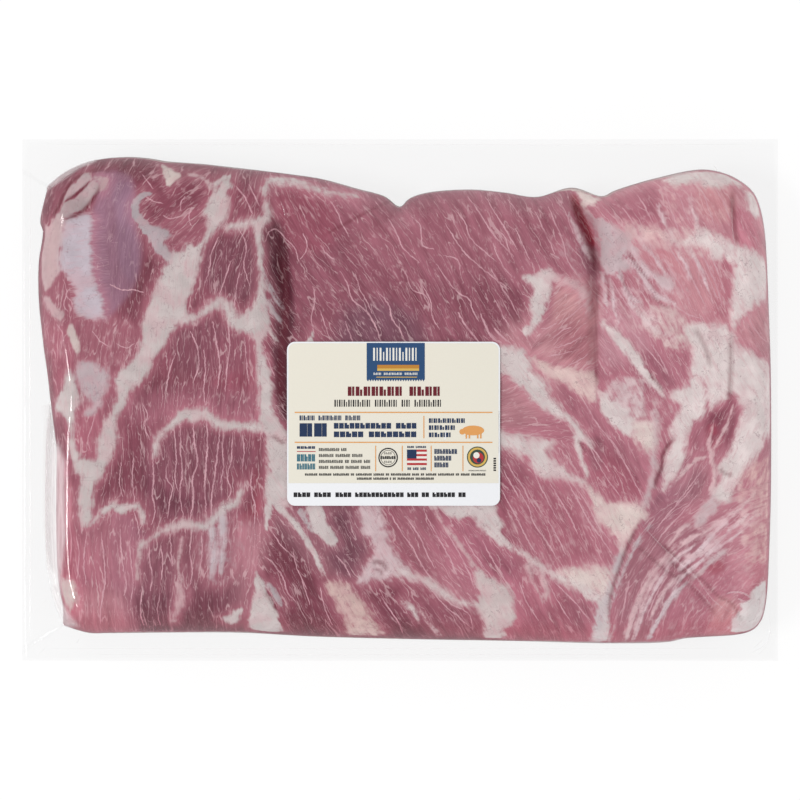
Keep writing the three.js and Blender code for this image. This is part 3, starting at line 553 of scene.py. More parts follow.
        (121, -11, 1), (119.8, -17, 1.4), (120.8, -23, 1.4), (122, -29, 1.6), (121, -35, 2),
    ]),
    (PINK_FAT, .4, [(129, -2, .9), (127.5, -8, 1.1), (124.6, -14, 1.1), (122, -18, 1)]),
    (PINK_FAT, .5, [(120.4, -41, 1), (115.5, -46, 1.2), (109, -50.5, 1.6), (104.6, -56, 1)]),
]

# Single hairs of fat between the fibres: width and route.
FAT_HAIRS = [
    # left block, near part
    (1.1, [(-115.8, -50.9), (-114.8, -60.1), (-114.3, -69.8), (-115.8, -79.5), (-116.5, -87.7)]),
    (1, [(-108.5, -49.4), (-108.1, -58.1), (-107.1, -65.9), (-106.1, -71.7), (-107.1, -76.6)]),
    (.9, [(-103.2, -42.6), (-101.3, -50.4), (-100.8, -56)]),
    (1, [(-96.9, -56.7), (-97.1, -62), (-95.9, -68.8), (-96.9, -74.6)]),
    (.8, [(-92.5, -56), (-92, -64), (-92.5, -70)]),
    (.8, [(-89.1, -52.2), (-88.6, -59.1), (-88.1, -65)]),
    (.8, [(-80.4, -50.3), (-81.4, -60.1), (-80.4, -65.9), (-81.4, -72)]),
    (.7, [(-77, -51), (-76.6, -58), (-77.6, -66)]),
    (.8, [(-121.5, -52), (-122.5, -62), (-121.6, -72)]),
    (.7, [(-104.5, -62), (-103.4, -70), (-104.6, -80)]),
    (.8, [(-99.6, -72), (-100.6, -80), (-99.8, -88)]),
    (.7, [(-92.6, -74), (-94, -81), (-93.2, -88)]),
    # left block, middle part
    (1, [(-85.3, -8), (-84.8, -21.3), (-84.3, -29.1), (-85.3, -35.9), (-83.8, -46)]),
    (1.3, [(-80.4, -7), (-79.5, -17.4), (-78.5, -24.2), (-80.4, -31), (-79.9, -37.8), (-81.4, -47)]),
    (1.2, [(-75.1, -7), (-74.6, -17.4), (-75.1, -25.2), (-75.6, -33), (-75.1, -44)]),
    (1.1, [(-69.8, -11), (-70.7, -20.3), (-71.7, -29.1), (-72.7, -34.9), (-73.2, -46)]),
    (.9, [(-68.3, -11), (-68.8, -19.4), (-68.3, -24.2), (-69.8, -33)]),
    (.9, [(-95.9, -20), (-95.4, -31), (-95.9, -36.8), (-94.9, -42.6), (-96.4, -49)]),
    (.9, [(-90.1, -24.2), (-90.6, -30), (-88.1, -33.9), (-89.1, -38.8), (-90.1, -46)]),
    (.8, [(-87.7, -10), (-86.9, -18), (-86.7, -24.2), (-87.2, -30), (-85.8, -36)]),
    (.8, [(-64.9, -12), (-65.4, -23.3), (-66.9, -30), (-65.4, -34.9), (-66.9, -39)]),
    (.9, [(-57.2, -26), (-57.7, -34.9), (-56.2, -40.7), (-56.7, -50)]),
    (.8, [(-61, -13), (-60.4, -20), (-61.4, -28)]),
    (.9, [(-103.2, -22), (-103.7, -31), (-102.7, -40)]),
    (.8, [(-108, -24), (-108.6, -32), (-107.4, -38)]),
    (.8, [(-99.8, -1), (-97.8, -5.8), (-98.8, -9.7), (-96.9, -16)]),
    # left block, far part
    (1.2, [(-81.4, 27), (-78.5, 20.3), (-78, 13.6), (-80.4, 6)]),
    (1, [(-72.7, 31), (-70.7, 20.3), (-69.8, 13.6), (-70.7, 4)]),
    (1.1, [(-66.9, 31), (-65.9, 21.3), (-66.9, 13.6), (-67.8, 3)]),
    (.8, [(-60.1, 24), (-59.6, 15.5), (-58.6, 6)]),
    (.9, [(-86.7, 19), (-89.1, 11.6), (-91, 3)]),
    (.8, [(-76, 20), (-75.4, 12), (-76, 4), (-75.4, -3)]),
    (.9, [(-63, 66.9), (-60.1, 62), (-59.6, 57.2), (-60.6, 52.3), (-58.1, 44)]),
    (.9, [(-69.8, 63.9), (-72.7, 58.1), (-73.6, 52.3), (-75.6, 45)]),
    (.9, [(-65.4, 54), (-68.3, 45.5), (-70.7, 38)]),
    (.8, [(-62, 50), (-63.6, 42), (-64, 36)]),
    (1, [(-64, 83.3), (-60.1, 78.5), (-57.2, 72)]),
    (.8, [(-58.6, 84), (-56.4, 79), (-54.4, 75)]),
    # far left corner
    (.7, [(-99, 79), (-95.5, 77), (-91.5, 76)]),
    (.7, [(-92, 72), (-89, 70.2), (-85, 71.2)]),
    (.7, [(-83, 79.5), (-85, 76), (-84.6, 73)]),
    (.7, [(-100, 88), (-98, 85), (-95.6, 81.6)]),
    (.8, [(-80.5, 75.4), (-82, 71), (-80.6, 67)]),
    (.9, [(-113, 45), (-108, 42.6), (-103, 42.6), (-98.8, 41.4)]),
    (.7, [(-110, 22), (-106, 20.2), (-102.8, 22)]),
    (.7, [(-131, 47), (-129.4, 42), (-130.6, 37), (-128.6, 34)]),
    (.7, [(-127.8, 44), (-129.8, 40.6), (-127.4, 38), (-127.8, 34)]),
    (.7, [(-133.6, 30), (-131, 26), (-131.4, 20)]),
    (.7, [(-119.6, 27), (-116.4, 23), (-112.6, 20.4)]),
    (.7, [(-118, -2), (-119, -9), (-121, -15), (-120, -20)]),
    (.7, [(-113.4, -9), (-115.4, -14), (-114.4, -20)]),
    # left column
    (1.3, [(-132.4, -25), (-131.8, -40), (-131.6, -55), (-131.8, -66)]),
    (.9, [(-125.6, -52), (-124.4, -60), (-125.4, -70)]),
    (.8, [(-128.6, -46), (-127.4, -55), (-128.2, -64)]),
    # valley and the middle's far part
    (.9, [(-52.4, 61), (-51, 65), (-48.8, 66.5), (-46.6, 65), (-43.8, 62), (-41, 59), (-39, 53)]),
    (.8, [(-27.1, 77.5), (-24.2, 72.7), (-22.3, 67.8), (-19.4, 63)]),
    (.8, [(-9.7, 77.5), (-6.8, 73.6), (-3.9, 70.7)]),
    (1, [(-4.8, 71), (-1, 63.9), (1, 59.1), (3.9, 56.2), (7.8, 53)]),
    (.9, [(-31, 60.1), (-28.1, 56.2), (-25.2, 54.3)]),
    (1.1, [(-23.3, 50.4), (-20.3, 44.6), (-18.4, 38.8), (-13.6, 34.9), (-9.7, 29.1), (-7.4, 22)]),
    (1, [(-9.7, 42.6), (-4.8, 37.8), (-2.9, 31), (0, 27.1), (2.6, 21.8)]),
    (.8, [(-17.4, 49.4), (-15.5, 42.6), (-12.6, 37.8), (-10.7, 33)]),
    (.9, [(1.9, 50.4), (4.8, 42.6), (9.7, 40.7), (11.6, 34.9)]),
    (1, [(13.6, 53.3), (18.4, 46.5), (22.3, 41.7), (27.1, 38.8), (28.1, 34.9), (31, 30)]),
    (1, [(17.4, 68.8), (20.3, 63.9), (24.2, 58.1), (29.1, 53.3), (34.9, 48.5), (42.6, 42.6)]),
    (.9, [(21.3, 73.6), (25.2, 68.8), (27.1, 63), (33, 57.2), (37.8, 53.3)]),
    (1, [(26.2, 79.5), (30, 73.6), (34.9, 65.9), (38.8, 61), (44.6, 55.2)]),
    (.9, [(33, 79.5), (36.8, 72.7), (41.7, 64.9), (45.5, 58.1)]),
    (.9, [(8.7, 44.6), (11.6, 38.8), (12.6, 32), (15.5, 27.1)]),
    (1.4, [(22.3, 34.5), (25.2, 29.1), (29.1, 24.2), (31, 21.5)]),
    (1.7, [(31, 34), (33.9, 27.1), (36.8, 23.3), (39.7, 22)]),
    (1.5, [(36.4, 28), (39, 25), (42.4, 22.4)]),
    (.8, [(-33.9, 44.6), (-33, 38.8), (-34.4, 31), (-33, 25.2)]),
    (.8, [(-31, 34.9), (-29.1, 29.1), (-27.1, 23.3)]),
    (.8, [(-37.8, 64.9), (-35.9, 59.1), (-38.8, 54.3)]),
    (.9, [(3.9, 71.7), (7.8, 67.8), (8.7, 60.1), (13.6, 58.1)]),
    (.8, [(-21.3, 31), (-19.4, 25.2), (-18.2, 21.8)]),
    (.8, [(16.5, 56.2), (22.3, 54.3), (23.3, 50.4)]),
    (.9, [(-53.2, 20), (-50.6, 14), (-48.6, 9)]),
    # the middle's far part, towards the open fold
    (.9, [(41.7, 78.5), (45.5, 72.7), (48.5, 67.8)]),
    (.9, [(36.8, 66.9), (40.7, 63), (42.2, 58.1), (44.6, 53.3)]),
    (.9, [(44.6, 66.9), (47.5, 60.1), (50.4, 54.3)]),
    (.9, [(52.3, 73.6), (55.2, 66.9), (58.1, 61), (60.1, 56.2)]),
    (1, [(57.2, 75.6), (60.1, 68.8), (63, 62), (64.9, 54.3), (68.8, 48.5)]),
    (.8, [(35.9, 61), (37.8, 56.2), (39.7, 52.3), (43.6, 47.5)]),
    (1, [(34.9, 51.4), (38.8, 44.6), (42.6, 38.8), (45.5, 32.9)]),
    (.9, [(36.8, 38.8), (39.7, 32.9), (42.6, 28.1)]),
    (.9, [(62, 78), (65, 71), (67.4, 64)]),
    # right of the open fold
    (1.2, [(89.1, 62), (93, 54.3), (96.9, 49.4), (97.9, 45)]),
    (1.1, [(93, 66.9), (96.9, 60.1), (98.9, 54.3), (104.7, 47.5)]),
    (1, [(96.9, 67.8), (102.7, 62), (105.6, 57.2), (110.5, 49.4)]),
    (.9, [(102.7, 80.4), (104.7, 74.6), (107.1, 67.8), (108.5, 63)]),
    (.9, [(108.5, 78.5), (110.5, 72.7), (112.4, 67.8)]),
    (.9, [(115.3, 84.3), (118.2, 78.5), (120.1, 72.7), (122.1, 66.9)]),
    (.9, [(122.1, 82.4), (125.5, 76.6), (127.9, 70)]),
    (1.2, [(81.4, 47.5), (85.3, 40.7), (89.1, 34.9), (93, 29.1)]),
    (1.2, [(87.2, 46.5), (91.1, 38.8), (95.9, 32.9), (102.7, 29.1)]),
    (1, [(93, 42.6), (97.9, 35.9), (104.7, 32.9), (109, 29.6)]),
    (1, [(83.3, 38.8), (86.2, 31), (91.1, 25.2), (96.9, 18.4), (102.7, 11.6)]),
    (1, [(100, 44), (105, 38), (111, 33.5), (118, 31)]),
    (1.2, [(106, 62), (109.6, 54), (114, 45), (118, 37)]),
    (1.2, [(111, 61), (114.6, 53), (118.6, 45), (121.6, 37)]),
    (1.3, [(116, 59), (119.6, 51), (123, 43), (125, 36)]),
    (1.1, [(120.6, 56), (123.4, 49), (126, 41)]),
    (1, [(101, 57), (105, 50), (110, 42), (113, 36)]),
    (.9, [(117, 52), (120.6, 45), (123.6, 37.5)]),
    (.9, [(86, 75), (89.4, 70), (92, 64)]),
    (.9, [(92, 80), (95, 74.6), (98.4, 68)]),
    (.9, [(97, 22), (101, 16), (104.4, 9)]),
    (.9, [(133.4, 36), (136, 30), (139.6, 25), (144, 22)]),
    # pink muscle right of the label's far corner
    (.8, [(54, 27.5), (57, 28), (61, 30)]),
    (.8, [(59, 23.6), (63, 27), (67, 28.4)]),
    (.8, [(60, 20.2), (65.6, 21.8), (70.6, 25)]),
    (.8, [(64, 31), (68, 34), (71.6, 37.4)]),
    (.8, [(65, 13.4), (69, 15), (73.4, 18.4)]),
    (.8, [(57, 17), (62, 17.6), (67, 19)]),
    # right of the label, towards the near edge
    (1, [(63, -1.9), (66.9, -8.7), (70.7, -14.5), (76.6, -21.3), (81.4, -28.1)]),
    (1, [(68.8, 3.9), (72.7, -2.9), (77.5, -10.7), (83.3, -17.4), (87.2, -24.2)]),
    (1, [(81.4, -15.5), (85.3, -21.3), (89.1, -28.1), (93, -35.9), (95, -40)]),
    (.9, [(73, -17), (77, -25), (82, -33), (86, -38)]),
    (.9, [(40.7, -22.3), (43.6, -28.1), (48.5, -34.9), (50.4, -40.7)]),
    (1.1, [(51.4, -24), (53.3, -31), (57.2, -38.8), (61, -46.5)]),
    (1.1, [(57.4, -31), (62, -38.8), (65.9, -45.5), (68.8, -52.3)]),
    (1, [(65, -31.6), (69.8, -40.7), (73.6, -47.5), (78.5, -54.3), (82.4, -60.1)]),
    (1, [(38.8, -33.9), (43.6, -42.6), (46.5, -48.5), (49.4, -54.3), (53.3, -60.1)]),
    (.9, [(44.6, -32.9), (49.4, -40.7), (52.3, -48.5), (57.2, -55.2), (61, -62)]),
    (.9, [(40, -27), (43.6, -33.4), (46, -38)]),
    (.9, [(69, -35), (73.4, -42), (77, -49), (82, -55)]),
    (.9, [(57, -46), (61, -53), (64.4, -60)]),
    (.9, [(59.1, -69.8), (64, -74.6), (68.8, -79.5), (73.6, -85.3)]),
    (.9, [(54.3, -64.9), (58.1, -71.7), (62, -79.5), (66.9, -87.2)]),
    (.9, [(46, -70), (49, -78), (54, -86)]),
    # fan in the near right corner
    (1.1, [(89.1, -69.8), (87.2, -77.5), (85.3, -88)]),
    (1, [(104, -68), (99, -76), (95, -86)]),
    (.9, [(119.2, -24.2), (114.3, -31), (110.5, -35.9), (102.7, -46.5)]),
    (1, [(142.4, -52.3), (137.6, -55.2), (131.8, -60.1)]),
    (.9, [(142.4, -60), (137, -60), (131.4, -62.6)]),
    (.9, [(131.8, -44.6), (125, -50.4), (120.2, -55.2)]),
    (.9, [(141.6, -43), (137, -47), (131, -52)]),
    (.9, [(116, -30), (110, -38), (104, -44), (98, -52)]),
    (.9, [(115.6, -36), (109, -44), (102, -52), (96, -61)]),
    # near edge, left of the middle
    (1, [(-52.8, -60.1), (-48.5, -64), (-45.5, -68.8), (-43.6, -74.6), (-40.2, -78.5)]),
    (.8, [(-41.7, -58.1), (-39.7, -65.9), (-35.9, -73.6)]),
    (.8, [(-38.8, -67.8), (-36.8, -73.6), (-34.9, -80)]),
    (.8, [(-50, -50), (-47, -55), (-44, -58.4), (-39, -63)]),
    (1, [(1.9, -44.6), (7.8, -53.3), (10.7, -60.1), (13.6, -65.9)]),
    (1, [(-3.9, -43.6), (0, -50.4), (4.8, -57.2), (9.7, -65.9), (15.5, -73)]),
    (1, [(17.4, -50.4), (22.3, -58.1), (26.2, -65.9), (29.1, -73.6)]),
    (.9, [(24.2, -52.3), (29.1, -60.1), (34.9, -67.8), (38.8, -71.7)]),
    (1, [(32, -54.3), (35.9, -62), (40.7, -69.8), (44.6, -75.6)]),
    (1, [(-7.8, -75.6), (-3.9, -81.4), (0, -87.2), (1, -91)]),
    (1, [(9.6, -44), (14, -52), (18.6, -60), (22, -68)]),
    (.8, [(14, -72), (19, -78.6), (24, -81), (27, -83.4), (28.4, -90)]),
    (.8, [(12, -73.4), (17, -79.4), (22, -83.4), (27, -88)]),
    (.9, [(-25, -60), (-21.4, -64), (-19, -69)]),
    (.9, [(-31, -72), (-29.4, -80), (-26, -88)]),
]

# Dark lines, mostly painted shade where the meat gapes or one layer lies over another, and a curl of lean;
# the top also sinks along them: darkness, width and route.
CRACKS = [
    (.7, .9, [(-121, 84.9), (-123, 82.2), (-126.6, 79.4), (-130.4, 77.2)]),
    (.7, 1.1, [
        (-116.4, 83.6), (-117.6, 80.2), (-121, 75.8), (-124.5, 72.6), (-127.5, 71.3), (-130.6, 70),
    ]),
    (.6, 1.1, [(-121.5, 89.1), (-127, 85.6), (-130.4, 80.4), (-132.6, 75.4), (-135.4, 71)]),
    (.6, 1.6, [(129, 82), (129.1, 74), (129.8, 66), (131.4, 60)]),
    (.5, 1.6, [(128, 26), (128.3, 16), (128.1, 8), (127.6, -2)]),
    (.45, 1.6, [(114, 28.4), (118.4, 20), (120.6, 12)]),
    (.6, 1.2, [(-49.5, -13.5), (-47, -15.5), (-44.5, -17)]),
    # painted shadows down the valley and down the open fold
    (.5, 3.2, [(-46.6, 66), (-45.4, 50), (-44.6, 40), (-45, 28), (-45.6, 16), (-46, 4), (-45.6, -6)]),
    (.8, 2.6, [(67, 79), (68.8, 73.6), (71.6, 66), (74.2, 60), (75.6, 54), (77.3, 46.5)]),
    (.4, 3.2, [(72, 60), (74.4, 52), (74.4, 42), (74.6, 30), (74.8, 18), (75.2, 8)]),
    (.6, 1.3, [(77.2, 47), (76.3, 38), (75.9, 26), (76.2, 12), (76.4, 4)]),
    (.35, .9, [(88, -53), (96, -60), (104, -66.6), (112.8, -72.4), (119, -79), (125.4, -86.4)]),
    (.45, .8, [
        (94, -50), (103, -57.4), (112, -65), (118.6, -71), (123.5, -76.2), (128.7, -78.9),
        (131.6, -83.7), (134.1, -87.9),
    ]),
    (.4, 1.2, [(104, -62), (110, -66.4), (115, -70.4)]),
    (.55, 1, [(-52.4, -74), (-50, -77.6), (-47.8, -82)]),
    (.5, 1, [(69, -15.4), (70.6, -17.6), (72.4, -20.4)]),
    (.7, 1.2, [(106.4, -14.4), (103.6, -18), (101.8, -22), (101.4, -26), (99.4, -31), (98.8, -35)]),
    (.5, 1.1, [
        (93, -47.6), (89.8, -53.4), (87.2, -59.4), (85.2, -64.6), (83.2, -70.6), (81.4, -77),
        (80.8, -86),
    ]),
    (.5, 1.1, [(123.5, -26.4), (126, -28.4), (129.4, -29.4)]),
    (.45, 1, [(96, 11), (99.4, 7), (102, 3.4)]),
    (.45, .9, [(-30, 63.6), (-20, 69), (-10, 74.4), (-1, 79.4)]),
    (.45, 1.1, [(-112, 88.6), (-116, 89.4), (-121.4, 89.2)]),
    # a curl of lean in the near fat
    (.6, 1.3, [(-11, -63.5), (-8.5, -62.6), (-6, -64), (-5, -66.5)]),
    (.5, 1.1, [(-10.4, -65.6), (-8, -66), (-6.6, -67.8)]),
    # between the strands on the fold's right lip
    (.35, 1, [(79.6, 50), (80.6, 44), (81.4, 38)]),
    (.4, .9, [(84.4, 52), (86.6, 45.4), (90.4, 38)]),
    (.45, 1, [(88.4, 58), (91.4, 52.4), (96.4, 46.6)]),
    (.35, .9, [(97.6, 41), (101.4, 37), (105, 35.6)]),
]

# The smooth membrane in the far left corner, which hides the fibres below it.
MEMBRANE = [
    (-119, 88), (-112, 89), (-105, 87), (-102.6, 80), (-103.6, 74), (-102, 68), (-100.3, 60),
    (-100.5, 52), (-102, 46.5), (-104, 42), (-107, 38.5), (-111, 34), (-114.5, 31), (-116.5, 38),
    (-119, 46), (-120.5, 58), (-120.6, 66), (-120, 72), (-118, 78),
]

# Areas of lean of another colour, and a few of painted shade, marked below: colour, feather, strength and
# outline.
LEAN_PATCHES = [
    (LEAN_MIDDLE, 9, 1, [(-62, 104), (-44, 60), (-30, 12), (20, 0), (70, -10), (90, 40), (80, 104)]),
    (LEAN_RIGHT, 12, 1, [
        (66, 110), (160, 110), (160, -110), (70, -110), (56, -70), (40, -40), (44, -10), (70, 10),
        (72, 60),
    ]),
    (LEAN_LIGHT, 9, 1, [
        (84, 92), (104, 94), (150, 90), (150, 22), (128, 20), (112, 30), (96, 36), (80, 50),
    ]),
    (MAUVE, 1.6, .95, MEMBRANE),
    (srgb(146, 110, 132), 1.6, .6, [
        (-112, 84), (-105, 84), (-103, 76), (-102.5, 64), (-101.8, 52), (-104, 46), (-108, 50),
        (-109.6, 60), (-110, 72),
    ]),
    # the valley beside the left block: dark lean with painted shade from the higher block beside it
    (LEAN_IN_VALLEY_SHADE, 1.4, .9, [
        (-53.4, 66), (-52, 69.4), (-50, 71), (-46, 69), (-44.5, 62), (-43, 52), (-41.5, 42), (-41, 32),
        (-42.5, 22), (-42.8, 6), (-43, -8), (-46, -8), (-48.6, 0), (-49.4, 10), (-49.6, 22),
        (-48.8, 34), (-51.5, 46), (-51.8, 56),
    ]),
    # the open fold: its gap painted dark red and its left wall darkened, painted shade of the fold
    (srgb(140, 24, 46), .7, 1, [
        (66.8, 80.5), (69.2, 79.5), (71.3, 74), (73.8, 68.6), (75.6, 64), (76, 60.5), (74.4, 59.4),
        (72, 64), (69.6, 69), (67.4, 74.6),
    ]),
    (srgb(124, 78, 92), 2, .8, [
        (69, 58), (72, 60), (76, 59), (77.5, 50), (77, 42), (75.4, 40), (73, 48),
    ]),
    (LEAN_SALMON, 2.6, .9, [
        (54, 18), (58, 28), (60, 38), (64, 46), (71, 44), (75, 36), (76, 24), (75, 14), (64, 13),
    ]),
    (LEAN_BRIGHT, 2.4, .55, [(66, 33), (72, 33), (74, 22), (73, 15), (64, 15), (58, 21), (60, 29)]),
    (MAUVE, 1.5, .3, [(-110, -43), (-112, -66), (-108, -88), (-84, -88), (-88, -60), (-98, -52)]),
    (LEAN_BROWN, 3, .55, [(-38, -41), (-20, -41), (-12, -58), (-20, -70), (-40, -60), (-50, -45)]),
    (LEAN_BROWN, 2, .6, [
        (88, -62), (102, -50), (118, -50), (112, -66), (100, -86), (94, -94), (86, -94), (84, -76),
    ]),
    (srgb(140, 88, 104), 2, .85, [
        (92, -45), (99, -36), (101, -26), (112, -22), (118, -31), (110, -42), (98, -52),
    ]),
    (srgb(150, 60, 78), 1.5, .8, [(119, -9), (124, -9), (124, -18), (120, -19), (118.6, -14)]),
    (srgb(158, 62, 78), 1.6, .7, [(118, -61.6), (121.6, -60), (126, -65), (121.6, -67.6)]),
    (srgb(200, 134, 146), 2, .8, [(-140, -20), (-131, -22), (-128, -60), (-138, -66)]),
    (LEAN_BRIGHT, 3, .8, [
        (-133, -50), (-124, -52), (-118, -60), (-114, -76), (-119, -88), (-131, -84), (-135, -66),
    ]),
    (LEAN_BRIGHT, 2.5, .6, [(-124, -4), (-117, -6), (-117, -22), (-124, -21), (-126, -14)]),
    (LEAN_BRIGHT, 2.5, .5, [(-139, 28), (-132, 30), (-126, 18), (-133, 4), (-138, 6)]),
    (LEAN_BRIGHT, 3, .6, [(-67, 2), (-55.5, 4), (-55.5, 24), (-64, 26), (-72, 22), (-72, 8)]),
    (srgb(188, 90, 106), 3, .6, [(-66, -28), (-56, -27), (-54, -44), (-63, -46)]),
    (LEAN_PINK, 4, .65, [
        (-62, -48), (-53, -48), (-52, -62), (-58, -70), (-58, -90), (-66, -82), (-67, -60),
    ]),
    (LEAN_PINK, 4, .2, [(-60, 60), (-53.5, 62), (-53.5, 45), (-59, 36), (-65, 42)]),
    (LEAN_PINK, 5, .55, [(84, 80), (100, 84), (128, 84), (128, 62), (104, 63), (90, 68), (80, 72)]),
    (LEAN_PINK, 4, .6, [(82, 62), (100, 56), (110, 46), (108, 30), (84, 30), (79, 44)]),
    (LEAN_PINK, 4, .6, [(129, -42), (146, -30), (147, -68), (134, -66), (124, -52)]),
    (LEAN_PINK, 3, .15, [(-1, -42), (6, -42), (14, -56), (22, -76), (12, -70), (4, -60)]),
    (srgb(142, 70, 88), 4, .8, [(50, -38), (62, -36), (72, -50), (76, -60), (62, -62), (52, -54)]),
    (srgb(144, 66, 86), 3, .8, [(74, -14), (84, -22), (94, -36), (92, -40), (80, -36), (72, -24)]),
    (srgb(128, 60, 78), 1.6, .9, [
        (118, -4), (124, -4), (129, 0), (130, -12), (128, -20), (124.5, -14), (121, -16), (118.5, -12),
    ]),
    (LEAN_PINK, 2, .5, [(131, 74), (142, 72), (145, 60), (131, 62)]),
    (srgb(190, 112, 130), 2, .8, [(129.4, 74), (134, 74), (139, 66), (139, 58), (131, 60)]),
    (srgb(206, 134, 148), 1.5, .4, [(132, 72), (140, 70.6), (140.6, 62), (132, 61)]),
    (LEAN_BRIGHT, 2, .6, [(95, 60), (105, 60), (104, 50), (97, 52)]),
    (LEAN_BRIGHT, 3, .6, [(-46, 83), (-30, 81), (-24, 66), (-34, 56), (-44, 62), (-48, 76)]),
    (srgb(118, 64, 78), 5, .85, [(-98, -52), (-66, -50), (-62, -70), (-60, -98), (-98, -98)]),
    (srgb(116, 62, 78), 4, .75, [(-96, -14), (-60, -16), (-58, -44), (-96, -44)]),
    (srgb(110, 57, 73), 4, .8, [(-77, 58), (-64, 64), (-56, 60), (-58, 40), (-68, 40), (-77, 46)]),
    (srgb(116, 62, 78), 4, .6, [(-86, 30), (-64, 30), (-58, 24), (-60, 12), (-86, 12)]),
    # darker along the near edge
    (srgb(120, 60, 76), 3, .7, [(-12, -82), (8, -80), (26, -84), (30, -100), (-14, -100)]),
    (srgb(112, 62, 78), 2, .7, [(-27, -46), (-16, -43), (-12.5, -56), (-16, -69), (-25, -66)]),
    (srgb(146, 84, 100), 3, .75, [(90, 16), (98, 19), (105, 10), (105, 2), (95, 4)]),
    (srgb(112, 60, 74), 1.5, .7, [(73.4, -15), (77.6, -15), (78, -27), (74.6, -27)]),
    (srgb(144, 74, 92), 4, .8, [(36, -31), (60, -31), (64, -46), (36, -47)]),
    (srgb(208, 150, 160), 3, .7, [(114, 26), (126, 26), (126, 12), (116, 14)]),
    (srgb(206, 146, 146), 3, .6, [(116, 84), (128, 84), (128, 70), (116, 72)]),
    (srgb(148, 18, 58), .8, .9, [(119.6, -10), (122, -9.6), (122.6, -13), (120.4, -13.8)]),
    (srgb(166, 102, 118), 4, .7, [(-104, 1), (-50, 1), (-50, -10), (-84, -8), (-104, -8)]),
    (srgb(178, 114, 128), 4, .55, [(-126, -46), (-106, -46), (-102, -78), (-104, -96), (-128, -96)]),
    (srgb(198, 150, 160), 4, .6, [(78, 33), (92, 35), (96, 20), (80, 14)]),
    (srgb(212, 152, 162), 4, .6, [(128, -60), (146, -58), (146, -73), (134, -75)]),
    (srgb(214, 162, 160), 2.5, .65, [(123, -77), (131, -79), (131, -93), (121, -93)]),
    (srgb(206, 146, 154), 4, .5, [(-126, -76), (-108, -76), (-108, -96), (-126, -96)]),
    (srgb(206, 150, 154), 3, .5, [(60, 46), (76, 46), (77, 31), (62, 31)]),
    (srgb(198, 138, 150), 3, .5, [(16, -60), (28, -62), (31, -76), (20, -76)]),
    (srgb(180, 108, 124), 4, .85, [(42, -68), (60, -72), (66, -84), (66, -100), (44, -100)]),
    (srgb(172, 96, 112), 2, .75, [(120.5, 56), (128, 57), (128.5, 34), (122, 32)]),
    (srgb(166, 98, 114), 2.5, .7, [(90, 75), (103, 74), (103, 67), (90, 67.5)]),
    (srgb(190, 106, 116), 2, .6, [(96, 60), (108, 58), (109, 48), (100, 47)]),
    (srgb(173, 108, 123), 8, .75, [
        (-22, 84), (0, 76), (30, 86), (58, 84), (64, 62), (44, 48), (10, 54), (-16, 60),
    ]),
    (srgb(176, 106, 124), 4, .7, [(18, -44), (36, -50), (46, -62), (44, -80), (24, -72), (12, -56)]),
    (srgb(200, 144, 152), 5, .7, [(38, 24), (54, 34), (62, 20), (60, 0), (52, -8), (38, -10)]),
    (srgb(158, 92, 108), 3, .8, [(78, 76), (92, 82), (100, 84), (100, 74), (92, 68), (80, 69)]),
    (srgb(202, 144, 150), 4, .7, [
        (92, 60), (106, 58), (120, 54), (124, 42), (118, 34), (104, 36), (94, 48),
    ]),
    (srgb(120, 78, 94), 5, .75, [(-22, 34), (-6, 38), (8, 30), (8, 14), (-22, 14)]),
    (srgb(160, 86, 102), 3, .6, [(79, 56), (88, 58), (98, 50), (104, 42), (92, 36), (80, 40)]),
    (LEAN_PINK, 5, .5, [(106, -26), (140, -24), (150, -66), (122, -56)]),
]

# Sharp creases of the film: width and route.
FILM_CREASES = [
    # folds down the left side and round the near corner
    (1, [
        (-134.5, -10), (-133.1, -22.1), (-133.5, -33.7), (-133.5, -40.7), (-133.1, -61.2),
        (-134.4, -72),
    ]),
    (1, [(-136, -76), (-134.4, -82), (-131, -87)]),
    (.8, [(-125, -90.4), (-121.6, -91.4), (-118, -91)]),
    # the near right corner: the pale lines of the two arcs and of the long diagonal are painted highlights
    # where the film glints, over their real bump
    (2.2, [
        (126.2, -75.6), (127.5, -74.7), (129.7, -74.4), (132.9, -74.8), (134.9, -75.9), (136.3, -77.2),
    ]),
    (2, [(130.8, -76.8), (132.5, -77.7), (134.4, -78.1)]),
    (1.2, [(90, -44), (98, -53), (106, -61), (114.7, -68.6), (121.6, -77.8), (129.7, -83.5)]),
    (1, [(113.6, -71.4), (118, -76.4), (121, -80.4)]),
    # the far corners
    (1.2, [(-136.5, 82), (-130, 86.4), (-124.2, 90.6), (-119, 92.4)]),
    (1, [(-133.6, 72), (-131.6, 69.4), (-132.6, 66)]),
    (1, [(124, 93.8), (126, 90.6), (124.4, 88)]),
    # the glint in the valley: its bump catches the lamp, and its pale line is painted highlight
    (1, [(-46.6, 77.6), (-45, 74), (-44.4, 71)]),
    # the right field
    (1.2, [(128.6, 78), (128.8, 66), (130, 58)]),
    (1.2, [(128.4, 30), (128.6, 14), (128, 0)]),
    # the welds
    (.9, [(-142, 101.6), (-80, 101.4), (0, 101.5), (80, 101.3), (142, 101.6)]),
    (.9, [(-146.6, 92), (-146.8, 30), (-146.6, -40), (-146.8, -96)]),
    (.9, [(-140, -98.6), (-60, -98.8), (20, -98.6), (80, -98.8), (132, -98.4)]),
    (.9, [(-120, -101), (-40, -101.2), (40, -101), (110, -101.2)]),
    (.9, [(146.4, -84), (147, -92), (144.6, -97.4), (139, -100.6)]),
    (.8, [(-143.4, -101), (-140, -97.6)]),
    (.8, [(-129, -97.6), (-126.8, -94)]),
    (.8, [(-142.4, -81.4), (-140.3, -79.2)]),
    (.8, [(140.4, -98.6), (144.6, -94.6)]),
    (.8, [(141.4, -102), (145.8, -97.6)]),
]

